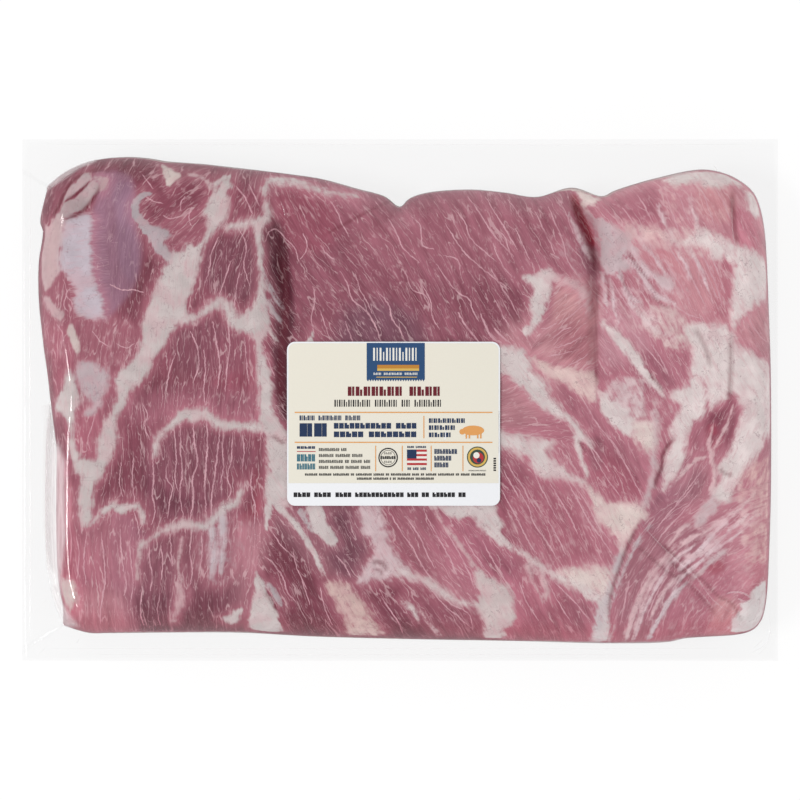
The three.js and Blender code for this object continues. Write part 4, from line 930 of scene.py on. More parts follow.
# Places where the film is milky, because it stands off the meat in folds: strength, feather, outline.
FILM_HAZE = [
    (.3, .7, [
        (-141, -2), (-138, -2), (-136.4, -14), (-135.6, -30), (-135.6, -60), (-136, -70), (-138.4, -66),
        (-141, -50),
    ]),
    (.42, 1.3, [
        (-136, -14), (-132, -18), (-130, -24), (-129.6, -41), (-129.2, -53), (-130.4, -60),
        (-131.4, -68), (-131.4, -76), (-135, -76), (-136, -60),
    ]),
    (.5, .5, [(-134.2, -30), (-133.2, -30), (-132.8, -60), (-133.6, -76), (-134.6, -70), (-134, -50)]),
    (.4, 1.2, [(-136.4, -74), (-132.6, -72), (-131, -78.7), (-128, -83.4), (-125, -88), (-131, -89)]),
    (.42, .6, [
        (-139.6, 83), (-136.4, 82.4), (-130.6, 86.6), (-124.8, 90.6), (-119, 92.8), (-119, 94.4),
        (-128, 92.6), (-136, 88),
    ]),
]

# ------------------------------------------------------------------ plane geometry

def smooth_curve(points, spaces=4):
    """The centripetal Catmull-Rom curve through points, as a close row of places."""
    points = np.array(points, float)
    ends = [2 * points[0] - points[1], 2 * points[-1] - points[-2]]
    padded = np.vstack([ends[0], points, ends[1]])
    shares = np.linspace(0, 1, spaces, endpoint=False)[:, None]
    places = []
    for before, start, end, after in zip(padded, padded[1:], padded[2:], padded[3:]):
        gaps = [math.sqrt(math.dist(*pair)) for pair in ((before, start), (start, end), (end, after))]
        leaving = ((start - before) / gaps[0] - (end - before) / (gaps[0] + gaps[1])
                   + (end - start) / gaps[1]) * gaps[1]
        arriving = ((end - start) / gaps[1] - (after - start) / (gaps[1] + gaps[2])
                    + (after - end) / gaps[2]) * gaps[1]
        square = -3 * start + 3 * end - 2 * leaving - arriving
        cube = 2 * start - 2 * end + leaving + arriving
        places.append(start + leaving * shares + square * shares ** 2 + cube * shares ** 3)
    places.append(points[-1:])
    return np.vstack(places)


def along(points, shares):
    """Places at shares of the length of the smooth curve through points."""
    curve = smooth_curve(points, 10)
    steps = np.linalg.norm(np.diff(curve, axis=0), axis=1)
    lengths = np.concatenate([[0], np.cumsum(steps)])
    wanted = np.asarray(shares) * lengths[-1]
    return np.column_stack([np.interp(wanted, lengths, curve[:, axis]) for axis in (0, 1)])


def blend_inside(near, right, far, left, along_shares, across_shares):
    """Places inside four edges, blended from them: a grid [across][along] of x, y."""
    u = along_shares[None, :, None]
    v = across_shares[:, None, None]
    corners = [np.array(place, float) for place in (near[0], right[0], far[0], right[-1])]
    return ((1 - v) * along(near, along_shares)[None] + v * along(far, along_shares)[None]
            + (1 - u) * along(left, across_shares)[:, None] + u * along(right, across_shares)[:, None]
            - (1 - u) * (1 - v) * corners[0] - u * (1 - v) * corners[1]
            - (1 - u) * v * corners[2] - u * v * corners[3])


def closed_ring(ring):
    """The places of a ring with the first one again at the end."""
    return np.vstack([ring, ring[:1]])


def nearest_on_route(places, route):
    """For each place: how far off the route it is, its side (1 on the left), and the share of the way
    along at the nearest point, below 0 or above 1 past an end."""
    route = np.asarray(route, float)[:, :2]
    off = np.full(len(places), np.inf)
    side = np.ones(len(places))
    share = np.zeros(len(places))
    last = len(route) - 2
    for i, (start, end) in enumerate(zip(route, route[1:])):
        step = end - start
        across = places - start
        part = across @ step / (step @ step)
        within = np.clip(part, 0, 1)
        gap = np.linalg.norm(across - within[:, None] * step, axis=1)
        closer = gap < off
        off[closer] = gap[closer]
        turn = step[0] * across[:, 1] - step[1] * across[:, 0]
        side[closer] = np.where(turn > 0, 1, -1)[closer]
        reached = np.clip(part, -np.inf if i == 0 else 0, np.inf if i == last else 1)
        share[closer] = ((i + reached) / (last + 1))[closer]
    return off, side, share


def third_along(route, shares):
    """The third number of a route's rows, at shares of the way along it."""
    thirds = np.asarray(route, float)[:, 2]
    return np.interp(np.clip(shares, 0, 1) * (len(thirds) - 1), np.arange(len(thirds)), thirds)


def depth_in_outline(places, outline):
    """How far inside a closed outline each place is, negative outside it."""
    outline = np.asarray(outline, float)
    closed = closed_ring(outline)
    off = nearest_on_route(places, closed)[0]
    x, y = places.T
    crossings = np.zeros(len(places), int)
    for (ax, ay), (bx, by) in zip(closed, closed[1:]):
        spans = (ay > y) != (by > y)
        if ay != by:
            crossings += spans & (x < ax + (y - ay) * (bx - ax) / (by - ay))
    return np.where(crossings % 2 == 1, off, -off)


def rounded_outline(points):
    """The smooth closed curve through points."""
    wrapped = points[-2:] + points + points[:3]
    spaces = 5
    return smooth_curve(wrapped, spaces)[2 * spaces:(2 + len(points)) * spaces]


def close_to(places, route, reach):
    """Which places lie in the route's box, widened by reach."""
    route = np.asarray(route, float)[:, :2]
    low = route.min(axis=0) - reach
    high = route.max(axis=0) + reach
    return np.flatnonzero(((places > low) & (places < high)).all(axis=1))


def smoothstep(low, high, values):
    """0 below low, 1 above high, and a smooth rise between."""
    share = np.clip((values - low) / (high - low), 0, 1)
    return share * share * (3 - 2 * share)


# ------------------------------------------------------------------ form of the pack

# Length and width that the top's even rows of points are counted from, near the slab's own.
SLAB_LENGTH = BAG_LENGTH - 15
SLAB_WIDTH = BAG_WIDTH - 20
RIM_TURNS = np.radians(np.arange(0, 46, 7.5))  # where the rim's rows of points lie round the shoulder


def crown_height(places, crease_share=1.0):
    """Height of the top before it rounds over at the edge, with a share of the creases' depth."""
    height = np.full(len(places), SLAB_THICKNESS)
    for x, y, reach_x, reach_y, rise in SWELLS:
        away = ((places[:, 0] - x) / reach_x) ** 2 + ((places[:, 1] - y) / reach_y) ** 2
        height += rise * np.exp(-away / 2)
    for depth, left, right, route in CREASES:
        off, side, share = nearest_on_route(places, route)
        reach = np.where(side > 0, left, right)
        height -= crease_share * depth * third_along(route, share) * np.clip(1 - off / reach, 0, 1) ** 2
    return height


def top_height(places, edge, crease_share=1.0):
    """Height of the rounded top inside a closed edge."""
    share = np.minimum(nearest_on_route(places, closed_ring(edge))[0] / SHOULDER_REACH, 1)
    crown = crown_height(places, crease_share)
    return BULGE_HEIGHT + (crown - BULGE_HEIGHT) * np.sqrt(1 - (1 - share) ** 2)


def graded_shares(length, step):
    """Shares of a length: close together at both ends, where the top rounds over, and even between."""
    rim = SHOULDER_REACH * (1 - np.cos(RIM_TURNS))
    spaces = round((length - 2 * rim[-1]) / step)
    even = np.linspace(rim[-1], length - rim[-1], spaces + 1)[1:-1]
    return np.concatenate([rim, even, (length - rim)[::-1]]) / length


def top_grid(step):
    """Places of the pack's top, a grid [across][along] of x, y, with its close-set rim."""
    along_shares = graded_shares(SLAB_LENGTH, step)
    across_shares = graded_shares(SLAB_WIDTH, step)
    return blend_inside(NEAR_EDGE, RIGHT_EDGE, FAR_EDGE, LEFT_EDGE, along_shares, across_shares)


def rim_of(rows, columns):
    """Numbers of the points round a grid [row][column], anticlockwise seen from above."""
    number = np.arange(rows * columns).reshape(rows, columns)
    return np.concatenate([number[0], number[1:, -1], number[-1, -2::-1], number[-2:0:-1, 0]])


def grid_faces(rows, columns):
    """The four-cornered faces of a grid [row][column], facing up."""
    number = np.arange(rows * columns).reshape(rows, columns)
    corners = (number[:-1, :-1], number[:-1, 1:], number[1:, 1:], number[1:, :-1])
    return np.stack([corner.ravel() for corner in corners], axis=1).tolist()


def band_faces(upper, lower):
    """Faces between two closed rings of points that run anticlockwise seen from above."""
    return [
        (a, c, d, b)
        for a, b, c, d in zip(upper, np.roll(upper, -1), lower, np.roll(lower, -1))
    ]


def outward_of(ring):
    """Directions out of a closed ring of x, y that runs anticlockwise."""
    run = np.roll(ring, -1, axis=0) - np.roll(ring, 1, axis=0)
    out = np.column_stack([run[:, 1], -run[:, 0]])
    return out / np.linalg.norm(out, axis=1)[:, None]


def level_ring(places, height):
    """A ring of points at one height."""
    return np.column_stack([places, np.full(len(places), float(height))])


def side_rings(edge, heights, foot_height, count):
    """Rings of points down the side: from below the edge, round to the foot, which is tucked in."""
    outward = outward_of(edge)
    rings = []
    for turn in np.radians(np.linspace(0, 90, count + 1)[1:]):
        flat = edge - outward * TUCK * (1 - math.cos(turn))
        height = foot_height + (heights - foot_height) * (1 - math.sin(turn))
        rings.append(np.column_stack([flat, height]))
    return rings


def join_rings(rim, first, rings):
    """Faces from the rim down through rings of points, numbered from first, and the last ring's numbers."""
    faces = []
    upper = rim
    for ring in rings:
        lower = np.arange(first, first + len(ring))
        faces += band_faces(upper, lower)
        upper = lower
        first += len(ring)
    return faces, upper


def make_piece(name, points, faces, materials):
    """A smooth mesh object from points in millimetres."""
    mesh = bpy.data.meshes.new(name)
    mesh.from_pydata((np.asarray(points) * MM).tolist(), [], [tuple(int(i) for i in face) for face in faces])
    mesh.shade_smooth()
    for material in materials:
        mesh.materials.append(material)
    piece = bpy.data.objects.new(name, mesh)
    bpy.context.scene.collection.objects.link(piece)
    return piece


def write_numbers(piece, name, values):
    """A number a point, for the shader."""
    attribute = piece.data.attributes.new(name, "FLOAT", "POINT")
    attribute.data.foreach_set("value", np.ascontiguousarray(values, np.float32).ravel())


def write_vectors(piece, name, values):
    """Three numbers a point, for the shader."""
    attribute = piece.data.attributes.new(name, "FLOAT_VECTOR", "POINT")
    attribute.data.foreach_set("vector", np.ascontiguousarray(values, np.float32).ravel())


# ------------------------------------------------------------------ hairs and creases

LINE_CHANNELS = 3
LINE_REACH = 4
LINE_HALF_WIDTH = 0.22  # of a line's listed width, because its edge is soft


def spread_lines(lines):
    """Shares the lines out over channels, so that those in one channel lie far apart."""
    channels = [[] for _ in range(LINE_CHANNELS)]
    for width, route in lines:
        curve = smooth_curve(route)
        clearances = []
        for channel in channels:
            gaps = [np.abs(curve[:, None] - other[None]).sum(axis=2).min() for _, other in channel]
            clearances.append(min(gaps, default=1000))
        channels[int(np.argmax(clearances))].append((width, curve))
    return channels


def line_fields(places, lines):
    """For each channel, the distance to the nearest line with its side, and that line's half width."""
    offs = np.full((len(places), LINE_CHANNELS), float(LINE_REACH))
    halves = np.full((len(places), LINE_CHANNELS), -1.0)
    for number, channel in enumerate(spread_lines(lines)):
        for width, route in channel:
            near = close_to(places, route, LINE_REACH)
            off, side, share = nearest_on_route(places[near], route)
            past_end = (share < 0) | (share > 1)
            from_end = np.clip(np.minimum(share, 1 - share) * 5, 0, 1)
            half = width * LINE_HALF_WIDTH * (0.3 + 0.7 * from_end) - np.where(past_end, 0.3 + off, 0)
            closer = off < np.abs(offs[near, number])
            chosen = near[closer]
            offs[chosen, number] = (off * side)[closer]
            halves[chosen, number] = half[closer]
    return offs, halves


# ------------------------------------------------------------------ fat, lean, cracks and fibres

NEAR_BY = 8  # farther off than this, a patch, a seam or a muscle has no say
OUTSIDE = -9.0  # depth where nothing is near
FAT_TONE = 0.94
FAT_TONE_RISE = 0.0007  # a millimetre to the right: the fat is whiter there
RIGHT_HALF_RISE = 1.9  # that much more, right of the middle


def fat_fields(places):
    """Depth in the nearest fat, negative outside it, with that fat's feather and colour."""
    depth = np.full(len(places), OUTSIDE)
    weights = np.full(len(places), 1e-4)
    feathers = weights.copy()
    colours = weights[:, None] * np.array(WHITE_FAT)

    def add(near, inside, feather, colour):
        """Counts in one fat, at the places near it."""
        depth[near] = np.maximum(depth[near], inside)
        weight = np.exp(np.clip(inside, -8, 3) / 1.1)
        weights[near] += weight
        feathers[near] += weight * feather
        colours[near] += weight[:, None] * np.array(colour)

    for colour, feather, outline in FAT_PATCHES:
        near = close_to(places, outline, NEAR_BY)
        add(near, depth_in_outline(places[near], rounded_outline(outline)), feather, colour)
    for colour, feather, share, outline in STREAKY_FAT:
        near = close_to(places, outline, NEAR_BY)
        inside = depth_in_outline(places[near], rounded_outline(outline))
        add(near, np.minimum(inside * 0.7, share), feather, colour)
    for colour, feather, route in FAT_SEAMS:
        curve = smooth_curve(route)
        near = close_to(places, curve, NEAR_BY)
        off, _, share = nearest_on_route(places[near], curve)
        add(near, third_along(curve, share) / 2 - off, feather, colour)
    tone = FAT_TONE + FAT_TONE_RISE * (places[:, 0] + RIGHT_HALF_RISE * np.maximum(places[:, 0], 0))
    return depth, feathers / weights, colours / weights[:, None] * tone[:, None]


def lean_colours(places):
    """Colour of the lean at each place."""
    colours = np.tile(np.array(LEAN), (len(places), 1))
    for colour, feather, strength, outline in LEAN_PATCHES:
        near = close_to(places, outline, 3 * feather)
        inside = depth_in_outline(places[near], rounded_outline(outline))
        cover = strength * smoothstep(-feather, feather, inside)
        colours[near] += cover[:, None] * (np.array(colour) - colours[near])
    return colours


def crack_field(places):
    """How dark the cracks make each place with painted shade, 0 to 1."""
    darkness = np.zeros(len(places))
    for strength, width, route in CRACKS:
        curve = smooth_curve(route)
        near = close_to(places, curve, LINE_REACH)
        off, _, share = nearest_on_route(places[near], curve)
        fade = np.clip(np.minimum(share, 1 - share) * 6 + 0.1, 0, 1)
        dark = strength * fade * smoothstep(width, 0.15 * width, off)
        darkness[near] = np.maximum(darkness[near], dark)
    return darkness


def membrane_field(places):
    """How much the silver membrane hides the fibres at each place, 0 to 1."""
    near = close_to(places, MEMBRANE, NEAR_BY)
    cover = np.zeros(len(places))
    cover[near] = smoothstep(-1, 1.5, depth_in_outline(places[near], MEMBRANE))
    return cover


def straight_fibres(degrees, x, y):
    """Places along and across fibres that lie at an angle."""
    turn = math.radians(degrees)
    return math.cos(turn) * x + math.sin(turn) * y, math.cos(turn) * y - math.sin(turn) * x


def outward_fibres(centre, x, y):
    """Places along and across fibres that run out from a centre."""
    angle = np.arctan2(y - centre[1], x - centre[0])
    return np.hypot(x - centre[0], y - centre[1]), angle * 40


def curved_fibres(centre, x, y):
    """Places along and across fibres that run round a centre."""
    angle = np.arctan2(y - centre[1], x - centre[0])
    return angle * 70, np.hypot(x - centre[0], y - centre[1])


MIDDLE_FIBRES = -59  # degrees
# Outline of the muscles at the left, whose fibres run towards the far edge.
UPRIGHT_MUSCLES = [
    (-150, -100), (-57.5, -100), (-56.5, -70), (-52.5, -50), (-52.5, -10), (-54, 20), (-54, 60),
    (-51, 72), (-51, 98), (-150, 98),
]
# Other muscles: how their fibres lie, in which direction or from which centre, and the outline.
OTHER_MUSCLES = [
    # fan of fibres at the label's right side
    (outward_fibres, (10, -12), [
        (36, 12), (44, 8), (52, -1), (62, -8), (73, -18), (60, -15), (48, -14), (36, -12.5),
    ]),
    # pink muscle beyond it
    (straight_fibres, 38, [(50, 17), (55, 30), (59, 42), (62, 49), (74, 44), (77, 30), (77, 11), (60, 12)]),
    # right of the middle
    (straight_fibres, 66, [
        (104, -38), (101, -24), (106, -14), (112, -14), (118, 4), (126, 0), (134, 0), (150, -6),
        (150, -32), (124, -38), (112, -40),
    ]),
    # fan in the near right corner
    (curved_fibres, (160, -105), [
        (96.5, -45), (106, -38), (122, -36), (150, -30), (150, -100), (78, -100), (82, -80), (88, -62),
    ]),
    # silver membrane in the far left corner
    (straight_fibres, 6, [(-131, 72), (-115, 74), (-112.5, 50), (-112, 32), (-126, 31), (-130, 50)]),
    # round muscle in the far left corner
    (straight_fibres, 40, [
        (-101, 64), (-104, 76), (-100, 94), (-73, 94), (-75, 72), (-77, 63), (-88, 58), (-92, 65),
    ]),
]


def fibre_fields(places):
    """Three sets of coordinates along and across the fibres, and how far each set counts."""
    x, y = places.T
    upright = np.column_stack([
        y + 1.5 * np.sin(x / 9),
        x - 0.0022 * np.clip(y - 15, 0, 100) ** 2 + 1.1 * np.sin(y / 10 + x / 21),
        x * 0,
    ])
    run, across = straight_fibres(MIDDLE_FIBRES, x, y)
    slanting = np.column_stack([run, across + 1.6 * np.sin(run / 16 + across / 27), x * 0])
    other = np.zeros((len(places), 3))
    other_depth = np.full(len(places), OUTSIDE)
    for lay_fibres, direction, outline in OTHER_MUSCLES:
        near = close_to(places, outline, NEAR_BY)
        depth = depth_in_outline(places[near], outline)
        run, across = lay_fibres(direction, x[near], y[near])
        closer = depth > other_depth[near]
        chosen = near[closer]
        other_depth[chosen] = depth[closer]
        other[chosen, 0] = run[closer]
        other[chosen, 1] = across[closer]
    upright_depth = np.full(len(places), OUTSIDE)
    near = close_to(places, UPRIGHT_MUSCLES, NEAR_BY)
    upright_depth[near] = depth_in_outline(places[near], UPRIGHT_MUSCLES)
    other_share = smoothstep(-1.5, 1.5, other_depth)
    upright_share = smoothstep(-1, 1, upright_depth) * (1 - other_share)
    shares = np.column_stack([upright_share, 1 - upright_share - other_share, other_share])
    return upright, slanting, other, shares


# ------------------------------------------------------------------ the slab of meat

SLAB_STEP = 0.88
SLAB_SIDE_RINGS = 11
MEAT_SHRINK = 0.998  # keeps the meat's side inside the film's
UNDERSIDE = 0.5
FAT_RELIEF = 0.3
CRACK_DEPTH = 0.7
LAYERS_BEGIN = 29  # height below which the cut side's layers begin to show
LAYERS_FULL = 23
# The slab's left side stands back from the film, where the film folds.
FOLD_DEPTH = 4.0
FOLD_START = -139.0
FOLD_REACH = 26.0


def slab_grid():
    """Places of the slab's top, a grid [across][along] of x, y."""
    grid = top_grid(SLAB_STEP) * MEAT_SHRINK
    in_from_left = np.clip((grid[..., 0] - FOLD_START) / FOLD_REACH, 0, 1)
    in_fold = smoothstep(4, -22, grid[..., 1]) * smoothstep(-91, -80, grid[..., 1])
    grid[..., 0] += FOLD_DEPTH * in_fold * (1 - in_from_left) ** 2
    return grid


def side_layers(points, arc):
    """Depth in the fat of the cut side's layers, fat and lean in turn, at points round the slab."""
    wave = 1.2 * np.sin(arc / 23) + 0.9 * np.sin(arc / 9.7 + 2) + 0.5 * np.sin(arc / 4.1)
    height = points[:, 2] + wave
    bottom_fat = 8.5 - height
    middle_fat = 2.4 + 0.8 * np.sin(arc / 31 + 1) - np.abs(height - 18.5)
    return np.maximum(bottom_fat, middle_fat)


def way_round(places, edge, ring_count):
    """How far round the slab its points lie: those of the top, of the rings of its side, and the last."""
    round_edge = np.concatenate([[0], np.cumsum(np.linalg.norm(np.diff(edge, axis=0), axis=1))])
    on_top = np.hypot(places[:, 0] * 2.1, places[:, 1] * 1.7)
    return np.concatenate([on_top, np.tile(round_edge, ring_count), [0]])


def build_slab(meat):
    """The slab: its top, its rounded sides and its flat underside, with the fields that colour it."""
    grid = slab_grid()
    places = grid.reshape(-1, 2)
    rim = rim_of(*grid.shape[:2])
    edge = places[rim]
    in_from_edge = nearest_on_route(places, closed_ring(edge))[0]
    depth, feather, fat_colour = fat_fields(places)
    cracks = crack_field(places)
    # fat stands out and cracks sink in, less and less towards the edge
    relief = FAT_RELIEF * smoothstep(-0.8, 0.8, depth) - CRACK_DEPTH * cracks
    heights = top_height(places, edge) - FILM_GAP + relief * smoothstep(0.5, 4, in_from_edge)

    rings = side_rings(edge, heights[rim], UNDERSIDE, SLAB_SIDE_RINGS)
    sides, foot = join_rings(rim, len(places), rings)
    points = np.vstack([np.column_stack([places, heights]), *rings, [[0, 0, UNDERSIDE]]])
    middle = len(points) - 1
    underside = [(b, a, middle) for a, b in zip(foot, np.roll(foot, -1))]
    slab = make_piece("belly_slab", points, grid_faces(*grid.shape[:2]) + sides + underside, [meat])

    below_top = np.append(np.tile(rim, len(rings)), rim[0])

    def whole(values):
        """Values of the top, carried down the sides."""
        return np.concatenate([values, values[below_top]])

    layers = side_layers(points, way_round(places, edge, len(rings)))
    on_side = smoothstep(LAYERS_BEGIN, LAYERS_FULL, points[:, 2])
    on_side[:len(places)] *= smoothstep(2.4, 0.6, in_from_edge)
    # near_side, at_rim and shoulder mask painted shade: a dark line at the rim, and darker lean where the top
    # rounds over, most towards the near edge; on_side also gives painted shade down the cut sides
    near_side = smoothstep(-20, -85, places[:, 1])
    numbers = {
        "fat_depth": whole(depth) * (1 - on_side) + layers * on_side,
        "fat_feather": whole(feather),
        "cracks": whole(cracks),
        "on_side": on_side,
        "at_rim": whole(smoothstep(0.9, 0.3, in_from_edge)),
        "shoulder": whole(smoothstep(13, 2, in_from_edge) * (0.15 + 0.85 * near_side)),
        "membrane": whole(membrane_field(places)),
    }
    for name, values in numbers.items():
        write_numbers(slab, name, values)

    hair_off, hair_half = line_fields(places, FAT_HAIRS)
    upright, slanting, other, shares = fibre_fields(places)
    vectors = {
        "fat_colour": whole(fat_colour),
        "lean_colour": whole(lean_colours(places)),
        "hair_off": whole(hair_off),
        "hair_half": np.vstack([hair_half, np.full((len(below_top), LINE_CHANNELS), -1.0)]),
        "fibres_upright": whole(upright),
        "fibres_slanting": whole(slanting),
        "fibres_other": whole(other),
        "fibre_shares": whole(shares),
    }
    for name, values in vectors.items():
        write_vectors(slab, name, values)
    return slab


# ------------------------------------------------------------------ materials

class Graph:
    """Builds a node tree: each call adds a node and gives back its output."""

    def __init__(self, tree):
        self.tree = tree

    def add(self, kind, output=0, inputs=(), **settings):
        """A node with its settings and inputs, each input a socket or a value, by number or name."""
        node = self.tree.nodes.new(kind)
        for name, value in settings.items():
            setattr(node, name, value)
        for key, value in dict(inputs).items():
            if isinstance(value, bpy.types.NodeSocket):
                self.tree.links.new(value, node.inputs[key])
            else:
                node.inputs[key].default_value = value
        return node.outputs[output]

    def math(self, operation, first, second=0.0, third=0.0, clamp=False):
        """One sum of numbers."""
        inputs = {0: first, 1: second, 2: third}
        return self.add("ShaderNodeMath", inputs=inputs, operation=operation, use_clamp=clamp)

    def product(self, first, second, clamp=False):
        """Two numbers multiplied."""
        return self.math("MULTIPLY", first, second, clamp=clamp)

    def line(self, value, slope, start):
        """The number on a straight line: value times slope, plus start."""
        return self.math("MULTIPLY_ADD", value, slope, start)

    def vector(self, operation, first, second=(0, 0, 0)):
        """One sum of vectors."""
        return self.add("ShaderNodeVectorMath", inputs={0: first, 1: second}, operation=operation)

    def join(self, x=0.0, y=0.0, z=0.0):
        """A vector of three numbers."""
        return self.add("ShaderNodeCombineXYZ", inputs={0: x, 1: y, 2: z})

    def split(self, vector):
        """The three numbers of a vector."""
        node = self.tree.nodes.new("ShaderNodeSeparateXYZ")
        self.tree.links.new(vector, node.inputs[0])
        return node.outputs

    def field(self, name, output="Fac"):
        """A field of the mesh."""
        return self.add("ShaderNodeAttribute", output, attribute_name=name)

    def place(self):
        """The point's place in millimetres."""
        return self.stretch(self.add("ShaderNodeNewGeometry", "Position"), 1 / MM, 1 / MM, 1 / MM)

    def stretch(self, place, x, y, z=1.0):
        """A place scaled on each axis."""
        return self.vector("MULTIPLY", place, (x, y, z))

    def step(self, low, high, value):
        """0 where value is at low, 1 where it is at high, and a smooth change between."""
        inputs = {"Value": value, "From Min": low, "From Max": high}
        return self.add("ShaderNodeMapRange", inputs=inputs, interpolation_type="SMOOTHSTEP")

    def noise(self, place, scale=1.0, detail=2.0, roughness=0.5):
        """Soft noise, about 0.5."""
        inputs = {"Vector": place, "Scale": scale, "Detail": detail, "Roughness": roughness}
        return self.add("ShaderNodeTexNoise", "Fac", inputs)

    def about_zero(self, noise, size):
        """A noise moved to lie about 0, and scaled."""
        return self.line(noise, size, -size / 2)

    def contour(self, noise, half_width):
        """Thin lines where a noise passes its middle."""
        level = self.math("ABSOLUTE", self.math("SUBTRACT", noise, 0.5))
        return self.step(half_width, half_width * 0.3, level)

    def laid_lines(self, kind, edge_from, edge_to, shift=0.0):
        """How far the listed lines of a kind cover the point, with a soft edge and a sideways shift."""
        offs = self.split(self.field(f"{kind}_off", "Vector"))
        halves = self.split(self.field(f"{kind}_half", "Vector"))
        covered = 0.0
        for off, half in zip(offs, halves):
            gap = self.math("ABSOLUTE", self.math("ADD", off, shift))
            line = self.step(edge_from, edge_to, self.math("SUBTRACT", half, gap))
            covered = self.math("MAXIMUM", line, covered)
        return covered

    def mix(self, share, first, second, **settings):
        """Two colours mixed."""
        return self.add("ShaderNodeMix", 2, {0: share, 6: first, 7: second}, data_type="RGBA", **settings)


def new_material(name):
    """A material with its principled shader and a graph to build on."""
    material = bpy.data.materials.new(name)
    material.use_nodes = True
    nodes = material.node_tree.nodes
    return material, nodes["Principled BSDF"], Graph(material.node_tree)


def colour4(colour):
    """A colour for a socket that takes alpha."""
    return (*colour, 1.0)


# Colours inside the material of the meat.
LEAN_BESIDE_FAT = srgb(204, 132, 147)
LEAN_PALE = srgb(228, 192, 196)
HAIR = srgb(210, 162, 172)
FAT_BLUSH = srgb(206, 158, 166)
FAT_MARKS = srgb(138, 102, 112)
FAT_STREAKS = srgb(202, 142, 152)
SHOULDER_SHADE = (0.88, 0.54, 0.62, 1)  # painted shade: the lean is darkened where the top rounds over, most at the near edge
# Painted shade over lean and fat alike: darker down the cut sides, in the cracks and folds, and a dark line
# along the rim: field, strength, colour.
PAINTED_SHADE = [
    ("on_side", 0.2, srgb(90, 50, 58)),
    ("cracks", 0.85, srgb(106, 24, 42)),
    ("at_rim", 0.6, srgb(78, 38, 46)),
]


def fibre_places(g):
    """Places along and across the fibres of the muscle that counts most at the point."""
    shares = g.split(g.field("fibre_shares", "Vector"))
    fibres = g.field("fibres_slanting", "Vector")
    for share, kind in ((shares[0], "upright"), (shares[2], "other")):
        inputs = {0: g.math("GREATER_THAN", share, 0.5), 4: fibres, 5: g.field(f"fibres_{kind}", "Vector")}
        fibres = g.add("ShaderNodeMix", 1, inputs, data_type="VECTOR")
    return fibres


def outside_membrane(g):
    """1 on bare meat, less under the silver membrane."""
    return g.line(g.field("membrane"), -0.6, 1)


def lean_tone(g, place, fibres, grain, ripple):
    """The lean's colour: fine streaks over slow changes of tone, darkest far from any fat."""
    fat_depth = g.field("fat_depth")
    cloud = g.noise(place, 0.045, 2, 0.6)
    core = g.step(-3, -8, g.math("ADD", fat_depth, g.about_zero(cloud, 8)))
    bands = g.noise(g.stretch(fibres, 1 / 24, 1 / 3.4), 1, 2, 0.6)
    light = g.math("ADD", g.math("ADD", g.about_zero(grain, 0.5), g.about_zero(cloud, 0.4)), 0.99)
    light = g.line(g.about_zero(bands, 0.85), outside_membrane(g), light)
    light = g.line(core, -0.12, light)
    lights = g.join(light, g.line(light, 1.3, -0.3), g.line(light, 1.2, -0.2))
    lean = g.vector("MULTIPLY", g.field("lean_colour", "Vector"), lights)
    beside_fat = g.step(-4.8, 0.8, g.math("ADD", fat_depth, g.about_zero(ripple, 3)))
    halo = g.product(beside_fat, g.line(g.field("fat_feather"), 0.2, 0.2))
    halo = g.product(halo, g.line(g.field("cracks"), -1.6, 1), clamp=True)
    return g.mix(halo, lean, colour4(LEAN_BESIDE_FAT))


def pale_fibres(g, place, fibres, ripple):
    """Thin pale lines in the lean, each kind with its strength: along the fibres, and curled; the short
    strands and the curls are partly painted glints of the wet surface.
    """
    warp = g.about_zero(g.noise(g.stretch(fibres, 1 / 7, 1 / 5), 1, 3, 0.6), 1.4)

    def strands(length, spacing, half_width):
        """Thin lines along the fibres, kept here and there."""
        drawn = g.vector("ADD", g.stretch(fibres, 1 / length, 1 / spacing), g.join(y=warp))
        kept = g.step(0.46, 0.56, g.noise(g.stretch(fibres, 1.3 / length, 0.6 / spacing), 1, 1))
        lines = g.product(g.contour(g.noise(drawn, 1, 0.6), half_width), kept)
        return g.product(lines, outside_membrane(g))

    # pale curls, partly painted glints of the wet surface
    curls_and_glints = g.contour(g.noise(g.stretch(place, 0.42, 0.42, 0.42), 1, 1.5), 0.02)
    curls_and_glints = g.product(curls_and_glints, g.step(0.58, 0.68, g.noise(place, 0.19, 2, 0.6)))
    return (
        (g.step(0.56, 0.72, ripple), 0.1),
        # short strands, partly painted glints of the wet surface
        (strands(6, 1.1, 0.05), 0.32),
        (strands(17, 2.4, 0.024), 0.6),
        (curls_and_glints, 0.5),
    )


def lean_nodes(g, place, fibres, grain, ripple):
    """The lean with its pale fibres, and the listed hairs of fat."""
    lean = lean_tone(g, place, fibres, grain, ripple)
    pale = g.mix(0.7, lean, colour4(LEAN_PALE))
    for lines, strength in pale_fibres(g, place, fibres, ripple):
        lean = g.mix(g.product(lines, strength), lean, pale)
    waves = g.about_zero(g.noise(place, 0.3, 2, 0.6), 1.0)
    wobble = g.math("ADD", waves, g.about_zero(g.noise(place, 0.9, 1), 0.5))
    hairs = g.laid_lines("hair", -0.14, 0.08, wobble)
    lean = g.mix(g.product(hairs, g.line(ripple, 1.9, -0.2), clamp=True), lean, colour4(HAIR))
    # painted shade where the top rounds over
    return g.mix(g.field("shoulder"), lean, SHOULDER_SHADE, blend_type="MULTIPLY")


